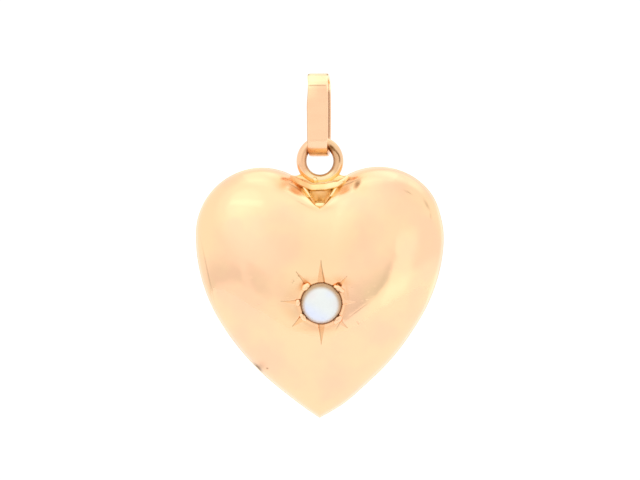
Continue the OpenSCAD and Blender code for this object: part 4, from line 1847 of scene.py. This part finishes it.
@dataclass
class Bail:
    """The flat strap folded into a long loop.

    Places across the strap run from -1 at its left edge to 1 at its right one, and places
    through it from -1 inside the loop to 1 outside. Ranges are heights of its middle line,
    apart from front_at, which goes by the outward direction's part along Y, and from
    crease_ends and left_pale, which go by the place across. The crease, the left line, the
    spots at the top's corners and the lowest part are darker. The right line, inside the back,
    and the right side are painted shade in the gap beside the right edge. Low down the strap
    has a painted reflection of gold in gold, and pale is painted highlight. The painted shade
    of the right side lies beyond side_from across and short of side_to through it, the
    painted reflection beyond reflection_from through it, and the painted highlight of the edge
    beyond edge_from across. In front the left edge swells by belly and left_out, and the
    right edge lies in by right_in and right_more, which come in over edges_over radii of the
    bend from the back.
    """

    plan: Plan
    corner_power: float = 0.28
    fold_power: float = 1.72
    straight_rows: int = 60
    bend_rows: int = 90
    columns: int = 56
    worn_up: Wave = Wave(0.006, 2.2, start=1.0)
    worn_across: Wave = Wave(1.0, 3.0, start=0.6)
    front_at: Ramp = Ramp(-0.1, -0.4)
    crease: Hump = Hump(-0.83, 0.045, 0.5)
    crease_left: float = 0.05
    crease_ends: Ramp = Ramp(0.9, 0.8)
    straight_from: Ramp = Ramp(-0.9, -1.3)
    straight_to: Ramp = Ramp(-5.6, -5.1)
    left_line: Hump = Hump(-0.97, 0.03, 0.45)
    left_line_from: Ramp = Ramp(-0.6, -1.4)
    # Painted shade in the gap beside the right edge.
    right_line: Hump = Hump(0.83, 0.09, 0.6)
    right_side: float = 0.8
    side_from: float = 0.95
    side_to: float = 0.6
    corner_spot: Patch = Patch(0.93, 0.1, 0.09, 0.85)
    # The lowest part is darker.
    low_darker: Ramp = Ramp(-6.05, -6.4, 0.06)
    # A painted reflection of gold in gold on the lowest part.
    low_reflection: Ramp = Ramp(-6.05, -6.4, 0.25)
    reflection_from: float = -0.9
    # Painted highlights on the top, along the left edge and along the right edge.
    top_pale: Ramp = Ramp(-0.81, -0.71, 0.6)
    left_pale: Ramp = Ramp(0.3, -0.8, 0.6)
    left_pale_up: Ramp = Ramp(-2.6, -0.8)
    edge_pale: Ramp = Ramp(-1.6, -1.0, 0.9)
    edge_from: float = 0.9
    belly: Ramp = Ramp(-1.2, -2.8, 0.1)
    belly_to: Ramp = Ramp(-7.1, -6.4)
    left_out: tuple[Ramp, ...] = (Ramp(-3.5, -1.5, 0.05), Ramp(-0.7, 0.3, 0.15))
    right_in: float = 0.08
    edges_over: float = 1.8
    right_more: tuple[Ramp, ...] = (Ramp(-0.7, 0.3, 0.04), Ramp(-5.2, -6.0, 0.05))

    def loop(self) -> tuple[np.ndarray, np.ndarray, np.ndarray, np.ndarray]:
        """Middle line of the strap seen from its side: two straights and two folded bends.

        The formula: a bend is half of a superellipse of power fold_power, less than 2, so
        that it starts with a soft crease, and its outward direction has the parts y and z of
        a point raised to the power fold_power - 1.

        Returns:
            y and z of the line's points, and y and z of the outward directions there.
        """
        plan = self.plan
        r = plan.bail_bend_r + plan.bail_t / 2.0
        high = plan.bail_top_z - plan.bail_t - plan.bail_bend_r
        low = plan.bail_low_z + plan.bail_t + plan.bail_bend_r
        bend = np.linspace(0.0, math.pi, self.bend_rows, endpoint=False)
        run = np.linspace(0.0, 1.0, self.straight_rows, endpoint=False)
        by = power(np.cos(bend), 2.0 / self.fold_power)
        bz = power(np.sin(bend), 2.0 / self.fold_power)
        ty, tz = power(by, self.fold_power - 1.0), power(bz, self.fold_power - 1.0)
        ty, tz = ty / np.hypot(ty, tz), tz / np.hypot(ty, tz)
        level, ones = np.zeros(len(run)), np.ones(len(run))
        down, up = high + (low - high) * run, low + (high - low) * run
        y = np.concatenate([r * by, -r * ones, -r * by, r * ones])
        z = np.concatenate([high + r * bz, down, low - r * bz, up])
        ny = np.concatenate([ty, -ones, -ty, ones])
        nz = np.concatenate([tz, level, -tz, level])
        return y, z, ny, nz

    def marks(
        self, across: np.ndarray, out: np.ndarray, z: np.ndarray, ny: np.ndarray
    ) -> dict[str, np.ndarray]:
        """Darker creases and edges, painted shade at the right edge, painted reflection below,
        painted highlight on top.

        Args:
            across: Place across the strap.
            out: Place through its thickness.
            z: Height of its middle line.
            ny: Part of the outward direction along Y, below 0 in front.

        Returns:
            The attributes recess, amber and pale.
        """
        front = self.front_at.at(ny) * (out > 0.5)
        crease = self.crease.at(z) * self.crease_ends.at(np.abs(across + self.crease_left))
        left_line = self.left_line.at(across) * self.left_line_from.at(z)
        recess = front * (crease + left_line + self.corner_spot.at(np.abs(across), z))
        # Painted shade in the gap beside the right edge: the back's inner face and the front's right
        # side. The lowest part is darker.
        line = self.right_line.at(across) * (ny > 0.5) * (out < -0.5)
        side = (across > self.side_from) * (out < self.side_to)
        edge = self.right_side * (ny < -0.5) * side
        straight = self.straight_from.at(z) * self.straight_to.at(z)
        recess = recess + straight * (line + edge) + self.low_darker.at(z)
        # Painted highlights on the top, along the left edge and along the right edge.
        left = self.left_pale.at(across) * self.left_pale_up.at(z)
        pale = front * (self.top_pale.at(z) + left)
        pale = pale + self.edge_pale.at(z) * (across > self.edge_from)
        return {
            "recess": np.clip(recess, 0.0, 1.0),
            # A painted reflection of gold in gold low on the strap.
            "painted_reflection": self.low_reflection.at(z) * (out > self.reflection_from),
            "pale": np.clip(pale, 0.0, 1.0),
        }

    def uneven_edges(self, y: np.ndarray, z: np.ndarray, flat: np.ndarray) -> np.ndarray:
        """How far the front's edges lie beside true, most at its top left and lower right.

        Args:
            y: Depth of the strap's middle line, below 0 in front.
            z: Height of the strap's middle line.
            flat: Place across the strap.

        Returns:
            The shift to the right, below 0 where it is to the left.
        """
        bend_r = self.plan.bail_bend_r
        front = smooth_step((bend_r - y) / (self.edges_over * bend_r))
        left = self.belly.at(z) * self.belly_to.at(z) + sum(ramp.at(z) for ramp in self.left_out)
        right = self.right_in + sum(ramp.at(z) for ramp in self.right_more)
        return -front * (left * smooth_step(-flat) + right * smooth_step(flat))

    def build(self, gold: bpy.types.Material) -> None:
        """Makes and dresses the strap: a rounded flat section carried round the loop.

        The formula: the strap is wider at its middle, and narrows with the square of the
        height from there.

        Args:
            gold: Its finish.
        """
        plan = self.plan
        y, z, ny, nz = (values[:, None] for values in self.loop())
        around = turned(self.columns)[None, :]
        middle = (plan.bail_top_z + plan.bail_low_z) / 2.0
        half_h = (plan.bail_top_z - plan.bail_low_z) / 2.0
        narrower = (plan.bail_w - plan.bail_end_w) / 2.0 * ((z - middle) / half_h) ** 2
        flat = power(np.cos(around), self.corner_power)
        thick = power(np.sin(around), self.corner_power)
        across = (plan.bail_w / 2.0 - narrower) * flat + self.uneven_edges(y, z, flat)
        worn = np.abs(self.worn_up.at(z) * self.worn_across.at(across))
        out = plan.bail_t / 2.0 * thick - worn
        px, py, pz = across, y + ny * out, z + nz * out
        c, s = math.cos(plan.bail_turn), math.sin(plan.bail_turn)
        points = np.stack([c * px - s * py, s * px + c * py, pz], -1)
        piece = surface("strap_bail", points, self.marks(flat, thick, z, ny), row_loop=True)
        dress(piece, gold, Body.BAIL, Slot.BAIL_GOLD, "bail")


@dataclass(frozen=True)
class Glow:
    """A soft round part of the surround that is brighter or darker than the rest.

    Attributes:
        more: How much brighter it is, below 0 for darker.
        aim: Its direction from the pendant.
        wide: Degrees from there at which it ends.
        core: Degrees from there within which it is full.
    """

    more: float
    aim: Triple
    wide: float
    core: float


@dataclass
class Surround:
    """The white surround that the polished metal mirrors, with softly brighter and darker parts.

    Directions have the parts x to the right, y away from the viewer and z up. Two numbers are
    the range over which a share comes in, and four the ranges over which it comes and goes. A
    name that ends in more tells how much brighter a part is, below 0 where it is darker. The
    parts are the glows, the zenith, a card on the right, the low right, a dark band in front
    with a darker rim, and smoke on the left with a paler gap in it. The edge of the band is
    at band_x on the right and at band_z below, and the range smoke_z is one of
    z + smoke_tilt * y + smoke_up. What the camera sees behind the pendant stays white.
    """

    bright: float = 1.09
    glows: tuple[Glow, ...] = (
        Glow(0.14, (-0.3, -0.64, 0.72), 46.0, 6.0),
        Glow(0.12, (-0.45, -0.62, 0.64), 18.0, 4.0),
        Glow(0.06, (-0.48, -0.83, 0.27), 22.0, 4.0),
        Glow(0.2, (0.4, 0.3, 0.87), 30.0, 8.0),
        Glow(-0.06, (-0.02, -0.93, 0.36), 17.0, 3.0),
        Glow(-0.03, (0.68, -0.3, 0.67), 24.0, 6.0),
    )
    zenith: Pair = (0.86, 0.96)
    zenith_more: float = 0.14
    card_x: tuple[float, float, float, float] = (0.47, 0.51, 0.68, 0.86)
    card_z: tuple[float, float, float, float] = (-0.35, -0.2, 0.14, 0.3)
    card_more: float = 0.12
    low_x: Pair = (-0.1, 0.4)
    low_z: Pair = (-0.08, -0.2)
    low_more: float = 0.11
    band_x: float = 0.49
    band_z: float = -0.208
    band_fade: Pair = (1.16, 0.84)
    band_front: Pair = (0.0, -0.2)
    band_left: Pair = (-0.32, -0.1)
    band_top: Pair = (0.1, -0.16)
    band_more: float = -0.21
    rim_fade: Pair = (0.25, 0.8)
    rim_top: Pair = (0.2, -0.02)
    rim_left: Pair = (0.05, 0.3)
    rim_more: float = -0.12
    smoke_tilt: float = 0.19
    smoke_up: float = 0.24
    smoke_z: tuple[float, float, float, float] = (-0.1, -0.04, 0.0, 0.12)
    smoke_left: Pair = (-0.2, -0.4)
    smoke_back: Pair = (0.75, 0.5)
    smoke_more: float = -0.15
    gap_x: tuple[float, float, float, float] = (-0.62, -0.55, -0.52, -0.45)
    gap_more: float = 0.1

    def band_edge(self, g: Graph, x: object, z: object) -> bpy.types.NodeSocket:
        """Formula of the dark band's edge, 1 on it: (x / band_x)^3 + (z / band_z)^3.

        Args:
            g: The world's nodes.
            x: First part of the direction.
            z: Third part of the direction.

        Returns:
            The formula's value, with either part no less than 0.
        """
        parts = []
        for value, size in ((x, self.band_x), (z, self.band_z)):
            share = g.mathed("MAXIMUM", g.mathed("DIVIDE", value, size), 0.0)
            parts.append(g.mathed("POWER", share, 3.0))
        return g.mathed("ADD", *parts)

    def build(self) -> None:
        """Makes the world: white, plus each part's amount times its shares."""
        world = bpy.data.worlds.new("surround")
        bpy.context.scene.world = world
        world.use_nodes = True
        g = Graph(world.node_tree)
        way = g.add("ShaderNodeTexCoord").outputs["Generated"]
        part = g.add("ShaderNodeSeparateXYZ", {0: way})
        x, y, z = (part.outputs[k] for k in range(3))
        light = self.bright
        for glow in self.glows:
            light = g.added(light, glow.more, g.toward(way, glow.aim, glow.wide, glow.core))
        light = g.added(light, self.zenith_more, g.ranged(z, *self.zenith))
        card = g.window(x, *self.card_x), g.window(z, *self.card_z)
        light = g.added(light, self.card_more, *card)
        low = g.ranged(z, *self.low_z), g.ranged(x, *self.low_x)
        light = g.added(light, self.low_more, *low)
        edge = self.band_edge(g, x, z)
        band = g.mathed("MULTIPLY", g.ranged(edge, *self.band_fade), g.ranged(y, *self.band_front))
        reach = g.ranged(x, *self.band_left), g.ranged(z, *self.band_top)
        light = g.added(light, self.band_more, band, *reach)
        reach = g.ranged(x, *self.rim_left), g.ranged(z, *self.rim_top)
        light = g.added(light, self.rim_more, band, g.ranged(edge, *self.rim_fade), *reach)
        tilt = g.mathed("ADD", z, g.mathed("MULTIPLY", y, self.smoke_tilt))
        smoky = g.window(g.mathed("ADD", tilt, self.smoke_up), *self.smoke_z)
        reach = g.ranged(x, *self.smoke_left), g.ranged(y, *self.smoke_back)
        light = g.added(light, self.smoke_more, smoky, *reach)
        light = g.added(light, self.gap_more, smoky, g.window(x, *self.gap_x))
        colour = g.add("ShaderNodeCombineColor", {0: light, 1: light, 2: light})
        back = g.add("ShaderNodeBackground", {"Color": colour.outputs[0], "Strength": 1.0})
        g.add("ShaderNodeOutputWorld", {"Surface": back.outputs[0]})


@dataclass(frozen=True)
class SoftBox:
    """A soft light.

    Attributes:
        name: Name of the lamp.
        aim: Its direction from the pendant.
        wide: Its width in millimetres.
        tall: Its height in millimetres.
        bright: How much brighter than the surround it looks.
    """

    name: str
    aim: Triple
    wide: float
    tall: float
    bright: float


@dataclass
class Studio:
    """Pale floor, soft lights, and the camera that frames the pendant.

    Attributes:
        mm_per_pixel: Size of one pixel of the frame at the pendant.
        frame_w: Width of the frame in pixels.
        frame_h: Height of the frame in pixels.
        hang_row: Pixel row of the origin, where the pendant hangs.
        middle_column: Pixel column of the origin.
        distance: From the camera to the pendant, in millimetres.
        sensor: Width of the camera's sensor, in millimetres.
        clip: Nearest and furthest distance that the camera sees, in metres.
        floor_z: Height of the floor, in millimetres.
        floor_r: Radius of the floor, in millimetres.
        floor_sides: Sides of the floor's rim.
        floor_tint: Linear colour of the floor.
        floor_rough: Its roughness.
        box_distance: From the soft lights to the pendant, in millimetres.
        boxes: The soft lights.
    """

    mm_per_pixel: float = 0.0891
    frame_w: int = 640
    frame_h: int = 480
    hang_row: float = 77.5
    middle_column: float = 319.6
    distance: float = 300.0
    sensor: float = 36.0
    clip: Pair = (0.01, 5.0)
    floor_z: float = -72.0
    floor_r: float = 170.0
    floor_sides: int = 96
    floor_tint: Triple = (0.96, 0.97, 1.0)
    floor_rough: float = 0.9
    box_distance: float = 260.0
    boxes: tuple[SoftBox, ...] = (
        SoftBox("key_left", (-0.44, -0.66, 0.62), 120.0, 26.0, 0.11),
        SoftBox("overhead", (0.0, 0.1, 1.0), 200.0, 200.0, 0.08),
        SoftBox("right_side", (0.66, 0.1, 0.75), 70.0, 70.0, 0.05),
    )

    def floor(self) -> None:
        """A round pale floor below the hanging pendant."""
        turn = turned(self.floor_sides)
        height = np.full(self.floor_sides, self.floor_z)
        rim = np.stack([self.floor_r * np.cos(turn), self.floor_r * np.sin(turn), height], -1)
        mesh = bpy.data.meshes.new("floor")
        mesh.from_pydata((rim * MM).tolist(), [], [list(range(self.floor_sides))])
        piece = bpy.data.objects.new("floor", mesh)
        bpy.context.scene.collection.objects.link(piece)
        made = bpy.data.materials.new("pale_floor")
        made.use_nodes = True
        g = Graph(made.node_tree)
        values = {"Base Color": (*self.floor_tint, 1.0), "Roughness": self.floor_rough}
        shader = g.add("ShaderNodeBsdfPrincipled", values)
        g.add("ShaderNodeOutputMaterial", {"Surface": shader.outputs[0]})
        mesh.materials.append(made)

    def lamp(self, box: SoftBox) -> None:
        """A soft light that adds its brightness to the surround's behind it.

        The formula: its power is pi times its area times that brightness.

        Args:
            box: Its place and sizes.
        """
        middle = Vector((0.0, 0.0, self.hang_row - self.frame_h / 2.0)) * self.mm_per_pixel
        data = bpy.data.lights.new(box.name, "AREA")
        data.shape = "RECTANGLE"
        data.size = box.wide * MM
        data.size_y = box.tall * MM
        data.energy = math.pi * data.size * data.size_y * box.bright
        lamp = bpy.data.objects.new(box.name, data)
        out = Vector(box.aim).normalized() * self.box_distance
        lamp.location = (middle + out) * MM
        lamp.rotation_euler = (-out).to_track_quat("-Z", "Y").to_euler()
        bpy.context.scene.collection.objects.link(lamp)

    def camera(self) -> None:
        """The camera: level, in front, framed so that a pixel is mm_per_pixel at the pendant."""
        data = bpy.data.cameras.new("camera")
        wide = self.frame_w * self.mm_per_pixel
        data.sensor_width = self.sensor
        data.lens = self.sensor * self.distance / wide
        data.clip_start, data.clip_end = self.clip
        camera = bpy.data.objects.new("camera", data)
        x = (self.frame_w / 2.0 - self.middle_column) * self.mm_per_pixel
        z = (self.hang_row - self.frame_h / 2.0) * self.mm_per_pixel
        camera.location = Vector((x, -self.distance, z)) * MM
        camera.rotation_euler = (math.pi / 2.0, 0.0, 0.0)
        bpy.context.scene.collection.objects.link(camera)
        bpy.context.scene.camera = camera

    def build(self) -> None:
        """Sets up the floor, the lights, the camera and plain colour management."""
        self.floor()
        for box in self.boxes:
            self.lamp(box)
        self.camera()
        bpy.context.scene.view_settings.view_transform = "Standard"
        bpy.context.scene.view_settings.look = "None"


def main() -> None:
    """Builds the surround, the studio and every sub-assembly in order."""
    logging.basicConfig(level=logging.INFO, format="%(name)s: %(message)s")
    Surround().build()
    Studio().build()
    plan = Plan()
    gold = {finish: finish.value.material() for finish in Finish}
    shell = HeartShell(plan, HeartForm(plan), StarFace(plan))
    shell.build(gold[Finish.SHELL], gold[Finish.SOLDER])
    StarSetting(plan).build(gold[Finish.SHELL])
    EyeRing(plan).build(gold[Finish.SHELL])
    CleftSolder(plan).build(gold[Finish.SOLDER], gold[Finish.SATIN])
    Pearl(plan).build(Nacre().material())
    Bail(plan).build(gold[Finish.STRAP])


if __name__ == "__main__":
    main()
